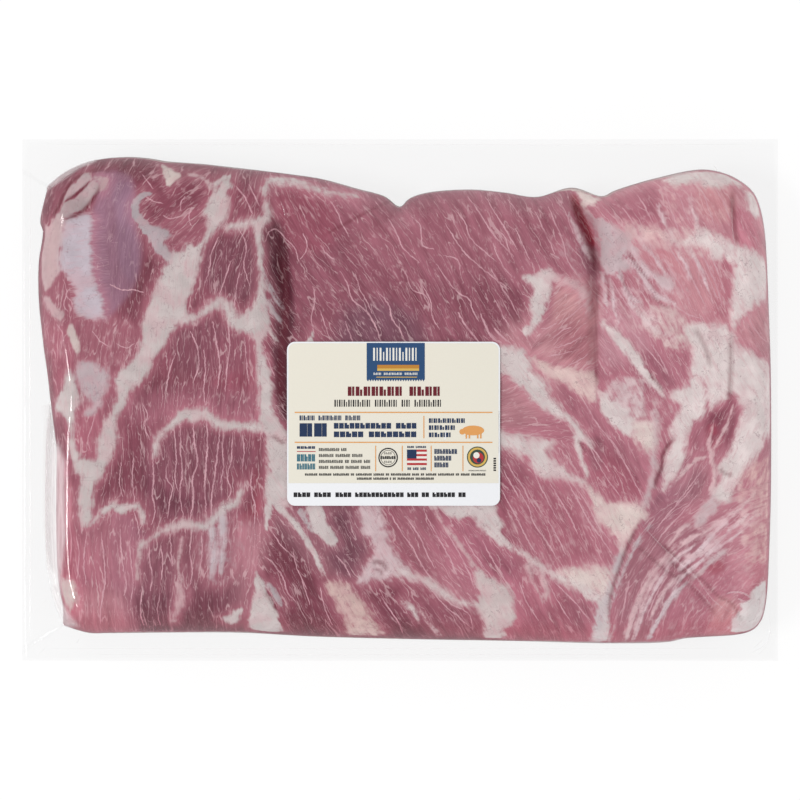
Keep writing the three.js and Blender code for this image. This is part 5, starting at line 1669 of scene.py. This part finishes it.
def fat_nodes(g, place, ripple):
    """The fat's colour, and where it is: its edges are frayed and drawn out a little along the fibres."""
    feather = g.field("fat_feather")
    fray = g.math("ADD", g.about_zero(ripple, 3.2), g.about_zero(g.noise(place, 0.3, 2, 0.55), 2.6))
    depth = g.line(fray, g.line(feather, 0.8, 0.35), g.field("fat_depth"))
    softness = g.line(g.line(feather, 0.15, 0.85), feather, 0.15)
    fatness = g.step(-1, 1, g.math("DIVIDE", depth, softness))

    shade = g.math("ADD", g.about_zero(g.noise(place, 0.14, 2, 0.55), 0.5), 1.0)
    fat = g.vector("MULTIPLY", g.field("fat_colour", "Vector"), g.join(shade, shade, shade))
    blush = g.step(0.46, 0.68, g.noise(place, 0.11, 2, 0.6))
    fat = g.mix(g.product(blush, 0.35), fat, colour4(FAT_BLUSH))
    specks = g.step(0.62, 0.74, g.noise(place, 0.7, 2, 0.7))
    blotch = g.noise(place, 0.16, 2, 0.6)
    veins = g.product(g.contour(g.noise(place, 0.28, 2, 0.6), 0.016), g.step(0.44, 0.58, blotch))
    marks = g.math("MAXIMUM", g.product(specks, 0.2), g.product(veins, 0.42))
    fat = g.mix(marks, fat, colour4(FAT_MARKS))
    streaks = g.product(g.step(0.5, 0.7, ripple), g.line(feather, 0.12, 0.08))
    return g.mix(streaks, fat, colour4(FAT_STREAKS)), fatness


def meat_material():
    """Raw pork: lean with its fibres and hairs, seams and patches of fat over it, and cracks, with painted
    shade in the cracks, down the sides, at the rim and where the top rounds over.
    """
    material, surface, g = new_material("raw_pork")
    place = g.place()
    fibres = fibre_places(g)
    grain = g.noise(g.stretch(fibres, 1 / 8, 1 / 0.6), 1, 3, 0.6)
    ripple = g.noise(g.stretch(fibres, 1 / 7, 1 / 1.5), 1, 2, 0.6)
    lean = lean_nodes(g, place, fibres, grain, ripple)
    fat, fatness = fat_nodes(g, place, ripple)
    colour = g.mix(fatness, lean, fat)
    # painted shade: down the cut sides, in the cracks and along the rim
    for field, strength, dark in PAINTED_SHADE:
        colour = g.mix(g.product(g.field(field), strength), colour, colour4(dark))

    relief = g.line(ripple, 0.6, g.product(g.step(-1, 1, g.field("fat_depth")), 0.8))
    height = g.line(grain, 0.7, relief)
    bump = g.add("ShaderNodeBump", "Normal", {"Strength": 0.45, "Distance": 0.0006, "Height": height})
    material.node_tree.links.new(colour, surface.inputs["Base Color"])
    material.node_tree.links.new(bump, surface.inputs["Normal"])
    surface.inputs["Roughness"].default_value = 0.55
    surface.inputs["Specular IOR Level"].default_value = 0.2
    return material


FILM_TINT = 0.987
FILM_MILK_AND_GLINTS = srgb(240, 232, 233)
FILM_GLOSS = 0.027  # share of the light that the film mirrors where it faces the eye
FILM_EDGE_GLOSS = 0.04  # and this much more where it is seen edge on
FILM_ROUGHNESS = 0.07


def film_material():
    """Clear film: it lets light through, mirrors the room a little, and is milky where it stands in folds and
    along its creases, where a few pale lines are painted highlights.
    """
    material = bpy.data.materials.new("clear_film")
    material.use_nodes = True
    tree = material.node_tree
    tree.nodes.clear()
    g = Graph(tree)
    place = g.place()
    crease = g.laid_lines("crease", -0.1, 0.5)
    height = g.line(crease, 0.45, g.noise(place, 0.09, 2, 0.5))
    bump = g.add("ShaderNodeBump", "Normal", {"Strength": 0.3, "Distance": 0.0012, "Height": height})
    streaky = g.line(g.noise(g.stretch(place, 0.6, 0.1), 1, 2), 1.2, 0.4)
    haze = g.product(g.field("haze"), streaky)
    # pale lines along the creases: milky folds of the film, and painted highlights at the few creases laid
    # where it glints
    haze = g.math("MAXIMUM", haze, g.product(crease, 0.3), clamp=True)
    through = g.add("ShaderNodeBsdfTransparent", "BSDF", {"Color": (FILM_TINT, FILM_TINT, FILM_TINT, 1)})
    milk = g.add("ShaderNodeBsdfDiffuse", "BSDF", {"Color": colour4(FILM_MILK_AND_GLINTS)})
    film = g.add("ShaderNodeMixShader", 0, {0: haze, 1: through, 2: milk})
    mirror = {"Color": (1, 1, 1, 1), "Roughness": FILM_ROUGHNESS, "Normal": bump}
    gloss = g.add("ShaderNodeBsdfGlossy", "BSDF", mirror)
    edge_on = g.add("ShaderNodeLayerWeight", "Facing", {"Blend": 0.5, "Normal": bump})
    share = g.line(g.math("POWER", edge_on, 4), FILM_EDGE_GLOSS, FILM_GLOSS)
    film = g.add("ShaderNodeMixShader", 0, {0: share, 1: film, 2: gloss})
    output = tree.nodes.new("ShaderNodeOutputMaterial")
    tree.links.new(film, output.inputs["Surface"])
    return material


# ------------------------------------------------------------------ the film

FILM_STEP = 1.2
FILM_SIDE_RINGS = 9
MARGIN_RINGS = 10
FILM_CREASE_SHARE = 0.07  # the film bridges the creases, and follows only this part of their depth


def bag_outline(foot):
    """Places on the bag's straight edges, one for each place round the foot of the slab."""
    half = np.array([BAG_LENGTH, BAG_WIDTH]) / 2
    outer = foot * (half / np.maximum(np.abs(foot), 1e-6)).min(axis=1)[:, None]
    for sign_x in (-1, 1):
        for sign_y in (-1, 1):
            corner = half * (sign_x, sign_y)
            outer[np.argmin(np.linalg.norm(outer - corner, axis=1))] = corner
    return outer


def build_film(clear):
    """The film: tight over the slab, then flat out to the welded edge, as one closed skin."""
    grid = top_grid(FILM_STEP)
    places = grid.reshape(-1, 2)
    rim = rim_of(*grid.shape[:2])
    edge = places[rim]
    heights = top_height(places, edge, FILM_CREASE_SHARE)
    rings = side_rings(edge, heights[rim], MARGIN_THICKNESS, FILM_SIDE_RINGS)
    foot = rings[-1][:, :2]
    outer = bag_outline(foot)
    for share in np.linspace(0, 1, MARGIN_RINGS + 1)[1:]:
        rings.append(level_ring(foot + (outer - foot) * share, MARGIN_THICKNESS))
    rings.append(level_ring(outer, 0))
    sides, last_ring = join_rings(rim, len(places), rings)
    points = np.vstack([np.column_stack([places, heights]), *rings])
    faces = grid_faces(*grid.shape[:2]) + sides + [last_ring[::-1]]
    film = make_piece("vacuum_film", points, faces, [clear])
    film.data.polygons[-1].use_smooth = False  # the underside is flat right up to its edge
    film.visible_shadow = False
    film.visible_diffuse = False

    flat = points[:, :2]
    offs, halves = line_fields(flat, FILM_CREASES)
    write_vectors(film, "crease_off", offs)
    write_vectors(film, "crease_half", halves)
    haze = np.zeros(len(flat))
    for strength, feather, outline in FILM_HAZE:
        near = close_to(flat, outline, feather)
        inside = depth_in_outline(flat[near], outline)
        haze[near] = np.maximum(haze[near], strength * smoothstep(-feather, feather, inside))
    write_numbers(film, "haze", haze)
    return film


# ------------------------------------------------------------------ the label

PRINT_RISE = 0.05  # from one layer of the print to the next, so that no two faces share a plane
SHEET_RINGS = 10
SHEET_STEP = 4  # the longest straight stretch in the outline of a sheet that bends with the film
BAND_TOP = -32.2  # of the white band at the label's foot
INKS = {
    "white": srgb(240, 241, 244), "cream": srgb(233, 228, 214), "blue": srgb(38, 74, 116),
    "paper": srgb(236, 234, 226), "ochre": srgb(190, 130, 50), "gold": srgb(214, 178, 92),
    "red": srgb(104, 18, 34), "black": srgb(26, 24, 28), "orange": srgb(226, 160, 92),
    "navy": srgb(30, 50, 84), "bright_red": srgb(182, 52, 56), "teal": srgb(52, 110, 128),
    "forest": srgb(58, 76, 66),
}
INK_NAMES = list(INKS)

# Bars: ink, left, right, bottom, top, layer of the print.
BARS = [
    # the blue block
    ("blue", -12.9, 9.6, 8, 22.1, 2),
    ("ochre", -8.8, 7.4, 12.2, 13.6, 3),
    ("gold", -8.8, 7.4, 11.3, 12.2, 3),
    ("gold", -9.2, 6.6, 8.7, 9.0, 3),
    # the lower row: a short red rule, and the field of the flag
    ("bright_red", -39.9, -32.7, -20.1, -19.8, 2),
    ("navy", 2.7, 6.4, -22.64, -19.2, 2.4),
]
# Rows of strokes: ink, left, right, bottom, top, strokes in each group, their weight, layer of the print.
STROKES = [
    # the blue block and the heading
    ("paper", -10.4, 7.1, 15.2, 20.2, [7], 0.52, 3),
    ("paper", -10.2, 7, 9.7, 10.6, [3, 7, 5], 0.6, 3),
    ("red", -20.2, 15.9, 1.6, 5.2, [7, 4], 0.84, 2),
    ("black", -25.4, 16.3, -2.6, 0.1, [8, 5, 2, 6], 0.58, 2),
    # the middle row
    ("navy", -38.9, -15.1, -7.9, -6.0, [4, 6, 4], 0.75, 2),
    ("navy", -38.9, -27.6, -14.2, -9, [2], 0.95, 2),
    ("navy", -25.6, 6.6, -11.1, -8.9, [11, 4], 0.95, 2),
    ("navy", -25.6, 6.6, -14.4, -12.2, [5, 8], 0.95, 2),
    ("navy", 11.2, 25.4, -8.9, -7.1, [8], 0.8, 2),
    ("navy", 11.2, 21.6, -11.6, -9.8, [5], 0.8, 2),
    ("navy", 11.2, 20, -14.4, -12.6, [4], 0.8, 2),
    # the lower row, from the left
    ("navy", -39.9, -32.7, -18.9, -17.9, [5], 0.9, 2),
    ("teal", -39.9, -32.7, -23.8, -21, [5], 0.9, 2),
    ("teal", -39.9, -32.7, -26.9, -24.6, [7], 0.85, 2),
    ("black", -31.4, -20.6, -19.8, -18.6, [11, 3], 0.7, 2),
    ("black", -31.4, -14.4, -22.1, -20.9, [7, 7, 5], 0.7, 2),
    ("black", -31.4, -11.4, -24.4, -23.2, [11, 2, 5, 3], 0.7, 2),
    ("black", -31.4, -11.4, -26.7, -25.5, [5, 7, 7, 5], 0.7, 2),
    ("black", -6.2, -3, -21.1, -20.2, [4], 0.5, 3.6),
    ("black", -7.6, -1.6, -22.9, -21.7, [7], 0.9, 3.6),
    ("black", -6.2, -3, -24.4, -23.5, [4], 0.5, 3.6),
    ("navy", 2.8, 10.2, -18.6, -17.8, [4, 6], 0.8, 2),
    ("navy", 2.9, 10.2, -27.1, -26.1, [2, 3, 3], 0.8, 2),
    ("navy", 13.3, 22.26, -20.9, -19, [8], 0.85, 2),
    ("navy", 13.3, 20.02, -23.5, -21.6, [6], 0.85, 2),
    ("navy", 13.3, 18.9, -26.1, -24.2, [5], 0.85, 2),
    ("black", 26.6, 33.4, -27.6, -27.1, [14], 0.5, 2),
    # two fine rows
    ("black", -36.8, 33.2, -29.3, -28.4, [7, 7, 9, 2, 9, 6, 2, 11, 4, 2, 6, 9, 2, 5, 8], 0.8, 2),
    ("black", -16.7, 13.2, -30.9, -30, [9, 9, 1, 2, 10, 11], 0.8, 2),
    # the white band
    ("black", -41.2, -26.6, -37.6, -35.8, [4, 4], 0.95, 1),
    ("black", -25, 1.6, -37.6, -35.8, [4, 12], 0.95, 1),
    ("black", 2.8, 25.6, -37.6, -35.8, [3, 2, 6, 2], 0.95, 1),
]
# Discs: ink, x, y, radius, layer of the print.
DISCS = [
    # two black rings, one in the other
    ("black", -4.6, -22.3, 3.8, 2), ("cream", -4.6, -22.3, 3.3, 2.4),
    ("black", -4.6, -22.3, 2.9, 2.8), ("cream", -4.6, -22.3, 2.7, 3.2),
    # coloured rings round three spots
    ("forest", 30, -22.1, 4.1, 2), ("gold", 30, -22.1, 3.7, 2.4), ("forest", 30, -22.1, 2.9, 2.8),
    ("bright_red", 30.3, -22.4, 2.1, 3.2), ("paper", 29.6, -21.4, 1.2, 3.6), ("navy", 30.6, -23.4, 0.9, 4),
]


def rounded_rectangle(low, high, corner, steps=6):
    """The outline of a rectangle with round corners, anticlockwise from its right side."""
    outline = []
    corners = ((high[0], high[1]), (low[0], high[1]), (low[0], low[1]), (high[0], low[1]))
    for quarter, (x, y) in enumerate(corners):
        centre_x = x - math.copysign(corner, x - (low[0] + high[0]) / 2)
        centre_y = y - math.copysign(corner, y - (low[1] + high[1]) / 2)
        for step in range(steps + 1):
            turn = math.pi / 2 * (quarter + step / steps)
            outline.append((centre_x + corner * math.cos(turn), centre_y + corner * math.sin(turn)))
    return outline


def close_set(outline):
    """An outline with points along its straight stretches too, so that a sheet bends with the film."""
    outline = np.array(outline, float)
    places = []
    for start, end in zip(outline, np.roll(outline, -1, axis=0)):
        parts = max(1, math.ceil(math.dist(start, end) / SHEET_STEP))
        places += [start + (end - start) * part / parts for part in range(parts)]
    return np.array(places)


class Print:
    """The label's sheet and the flat shapes printed on it, gathered into one mesh."""

    def __init__(self):
        self.points = []  # x, y and the rise above the film
        self.faces = []
        self.face_inks = []

    def add(self, points, faces, ink):
        """Adds points with their faces, all in one ink."""
        first = len(self.points)
        self.points += np.asarray(points, float).tolist()
        self.faces += [tuple(first + int(number) for number in face) for face in faces]
        self.face_inks += [INK_NAMES.index(ink)] * len(faces)

    def lay(self, flat, faces, ink, layer):
        """Adds a flat sheet of faces in a layer of the print."""
        self.add(level_ring(flat, LABEL_THICKNESS + layer * PRINT_RISE), faces, ink)

    def bar(self, ink, left, right, bottom, top, layer, longest=5.0):
        """A rectangle, in cells short enough to follow the film."""
        across = max(1, math.ceil((right - left) / longest)) + 1
        up = max(1, math.ceil((top - bottom) / longest)) + 1
        xs, ys = np.meshgrid(np.linspace(left, right, across), np.linspace(bottom, top, up))
        self.lay(np.column_stack([xs.ravel(), ys.ravel()]), grid_faces(up, across), ink, layer)

    def shape(self, ink, outline, layer, rings=1):
        """A shape that is seen whole from its middle, in rings towards it."""
        outline = np.array(outline, float)
        middle = outline.mean(axis=0)
        count = len(outline)
        flat = [middle + (outline - middle) * (1 - ring / rings) for ring in range(rings)]
        faces = []
        for ring in range(rings - 1):
            outer = np.arange(count) + ring * count
            inner = outer + count
            faces += list(zip(outer, np.roll(outer, -1), np.roll(inner, -1), inner))
        last = np.arange(count) + (rings - 1) * count
        faces += [(a, b, rings * count) for a, b in zip(last, np.roll(last, -1))]
        self.lay(np.vstack([*flat, middle]), faces, ink, layer)

    def oval(self, ink, x, y, half_length, half_height, layer, corners=28):
        """A round or long spot."""
        turns = np.linspace(0, 2 * math.pi, corners, endpoint=False)
        self.shape(ink, [(x + half_length * math.cos(turn), y + half_height * math.sin(turn))
                         for turn in turns], layer)

    def strokes(self, ink, left, right, bottom, top, groups, weight, layer):
        """A row of plain upright strokes in groups, each group a number of pairs, heavy and light."""
        pitch = (right - left) / (sum(groups) + 0.8 * (len(groups) - 1))
        heavy = 0.55 * weight * pitch
        light = 0.34 * weight * pitch
        x = left
        for group in groups:
            for number in range(group):
                cut = 0.32 * (top - bottom) * ((number * 2 + group) % 3 == 0)
                self.bar(ink, x, x + heavy, bottom, top, layer)
                self.bar(ink, x + 0.54 * pitch, x + 0.54 * pitch + light, bottom, top - cut, layer)
                x += pitch
            x += 0.8 * pitch


def label_sheet(sheet):
    """The sheet itself, with its thickness: a closed rounded rectangle."""
    outline = close_set(rounded_rectangle(LABEL_LOW, LABEL_HIGH, LABEL_CORNER))
    sheet.shape("white", outline, 0, SHEET_RINGS)
    upper = np.arange(len(outline))
    lower = upper + len(outline)
    points = np.vstack([level_ring(outline, LABEL_THICKNESS), level_ring(outline, 0)])
    sheet.add(points, band_faces(upper, lower) + [lower[::-1]], "white")


def cream_field(sheet):
    """The cream part of the label, square at its foot, where the white band begins."""
    inset = 0.6
    corner = 2.6
    left = LABEL_LOW[0] + inset
    right = LABEL_HIGH[0] - inset
    round_cornered = rounded_rectangle((left, BAND_TOP), (right, LABEL_HIGH[1] - inset), corner)
    outline = [place for place in round_cornered if place[1] > 0] + [(left, BAND_TOP), (right, BAND_TOP)]
    sheet.shape("cream", close_set(outline), 1, SHEET_RINGS)


def block_teeth(sheet):
    """The toothed foot of the blue block."""
    count = 23
    left, width = -12.9, 22.5 / count
    for tooth in range(count):
        start = left + width * tooth
        sheet.shape("blue", [(start, 8.02), (start + width / 2, 7.2), (start + width, 8.02)], 2)


def rules(sheet):
    """Thin rules across the label, and upright ones between its parts."""
    for height in (-4.8, -16.4):
        sheet.bar("orange", -40.8, 35.8, height - 0.22, height + 0.22, 2)
    sheet.bar("orange", 9.05, 9.45, -14.8, -6.2, 2)
    for left in (-9.6, 0.7, 11.9, 24.2):
        sheet.bar("orange", left, left + 0.36, -27.6, -17.7, 2)


def plain_animal(sheet):
    """An oval with a small round head, on four short bars."""
    sheet.oval("orange", 28.3, -11.8, 4.3, 1.9, 2, corners=30)
    sheet.oval("orange", 24.1, -12.3, 1.1, 1.1, 2.4)
    for left in (25.4, 26.6, 29.8, 31):
        sheet.bar("orange", left, left + 0.6, -14.9, -12.6, 2.4)


def flag_stripes(sheet):
    """Seven stripes, red and pale in turn."""
    height = 0.86
    for stripe in range(7):
        top = -19.2 - stripe * height
        sheet.bar("paper" if stripe % 2 else "bright_red", 2.7, 10.4, top - height, top, 2)


def fine_marks(sheet):
    """A column of six short marks near the right edge."""
    height = 0.6
    for mark in range(6):
        bottom = -23 - mark * 0.9
        sheet.bar("black", 36.2, 37.2, bottom, bottom + height, 2)


def label_print(sheet):
    """Fields of colour, rules, rows of strokes and round marks, none of which can be read."""
    cream_field(sheet)
    block_teeth(sheet)
    rules(sheet)
    for bar in BARS:
        sheet.bar(*bar)
    for row in STROKES:
        sheet.strokes(*row)
    for ink, x, y, radius, layer in DISCS:
        sheet.oval(ink, x, y, radius, radius, layer)
    plain_animal(sheet)
    flag_stripes(sheet)
    fine_marks(sheet)


def ink_material(name, colour):
    """Printed paper under its varnish."""
    material, surface, g = new_material(name)
    tone = g.line(g.noise(g.place(), 1.6, 3, 0.7), 0.05, 0.975)
    toned = g.vector("MULTIPLY", g.join(tone, tone, tone), colour)
    material.node_tree.links.new(toned, surface.inputs["Base Color"])
    surface.inputs["Roughness"].default_value = 0.5
    surface.inputs["Specular IOR Level"].default_value = 0.3
    return material


def build_label():
    """The label, lying on the film."""
    sheet = Print()
    label_sheet(sheet)
    label_print(sheet)
    points = np.array(sheet.points)
    points[:, 2] += crown_height(points[:, :2], FILM_CREASE_SHARE) + LABEL_GAP
    materials = [ink_material(f"label_{ink}", colour) for ink, colour in INKS.items()]
    piece = make_piece("printed_label", points, sheet.faces, materials)
    piece.data.polygons.foreach_set("material_index", sheet.face_inks)
    return piece


# ------------------------------------------------------------------ the room

TABLE_HALF = 900
TABLE_TOP = -0.2  # just below the pack, so that the two don't share a plane
TABLE_GLOW = 0.86
CAMERA_HEIGHT = 1.5  # metres, as are the lamp's place and size
CAMERA_LENS = 170
SENSOR_WIDTH = 36
SKY_ZENITH = 0.18  # the dark ceiling round the camera
SKY_SIDES = 0.85
# The lamp at the left: a soft box whose mirror image runs down the left shoulder of the film.
LAMP_PLACE = (-0.63, -0.1, 1.14)
LAMP_SIZE = (0.40, 0.15)
LAMP_POWER = 5.3


def build_lamp():
    """The soft box, turned to face the pack."""
    data = bpy.data.lights.new("soft_box", "AREA")
    data.shape = "RECTANGLE"
    data.size, data.size_y = LAMP_SIZE
    data.energy = LAMP_POWER
    lamp = bpy.data.objects.new("soft_box", data)
    lamp.location = LAMP_PLACE
    lamp.rotation_euler = Vector(LAMP_PLACE).to_track_quat("Z", "Y").to_euler()
    bpy.context.scene.collection.objects.link(lamp)


def build_camera():
    """The camera, straight above the pack, with colours shown as they are."""
    scene = bpy.context.scene
    data = bpy.data.cameras.new("camera")
    data.lens = CAMERA_LENS
    data.sensor_width = SENSOR_WIDTH
    camera = bpy.data.objects.new("camera", data)
    camera.location = (0, 0, CAMERA_HEIGHT)
    scene.collection.objects.link(camera)
    scene.camera = camera
    scene.view_settings.view_transform = "Standard"


def build_table():
    """A white table, pale by its own light so that the pack throws only a faint shadow on it."""
    material, surface = new_material("table_white")[:2]
    surface.inputs["Base Color"].default_value = (0.16, 0.16, 0.16, 1)
    surface.inputs["Roughness"].default_value = 0.9
    surface.inputs["Specular IOR Level"].default_value = 0.0
    surface.inputs["Emission Color"].default_value = (1, 1, 1, 1)
    surface.inputs["Emission Strength"].default_value = TABLE_GLOW
    corners = [(x * TABLE_HALF, y * TABLE_HALF, TABLE_TOP) for x, y in ((-1, -1), (1, -1), (1, 1), (-1, 1))]
    table = make_piece("table", corners, [(0, 1, 2, 3)], [material])


def build_sky():
    """An even white sky, dark round the camera, where the film would mirror it."""
    world = bpy.data.worlds.new("sky")
    bpy.context.scene.world = world
    world.use_nodes = True
    g = Graph(world.node_tree)
    upward = g.split(g.add("ShaderNodeTexCoord", "Generated"))[2]
    brightness = g.line(g.step(0.975, 0.82, upward), SKY_SIDES - SKY_ZENITH, SKY_ZENITH)
    background = world.node_tree.nodes["Background"]
    background.inputs["Color"].default_value = (1, 1, 1, 1)
    world.node_tree.links.new(brightness, background.inputs["Strength"])


def main():
    """Builds the pack's three pieces and the room."""
    slab = build_slab(meat_material())
    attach(slab, "root")
    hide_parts("vacuum_bag")

    film = build_film(film_material())
    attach(film, "root")
    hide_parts("vacuum_bag")

    label = build_label()
    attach(label, "root")
    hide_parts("label")

    build_camera()
    build_table()
    build_sky()
    build_lamp()


main()
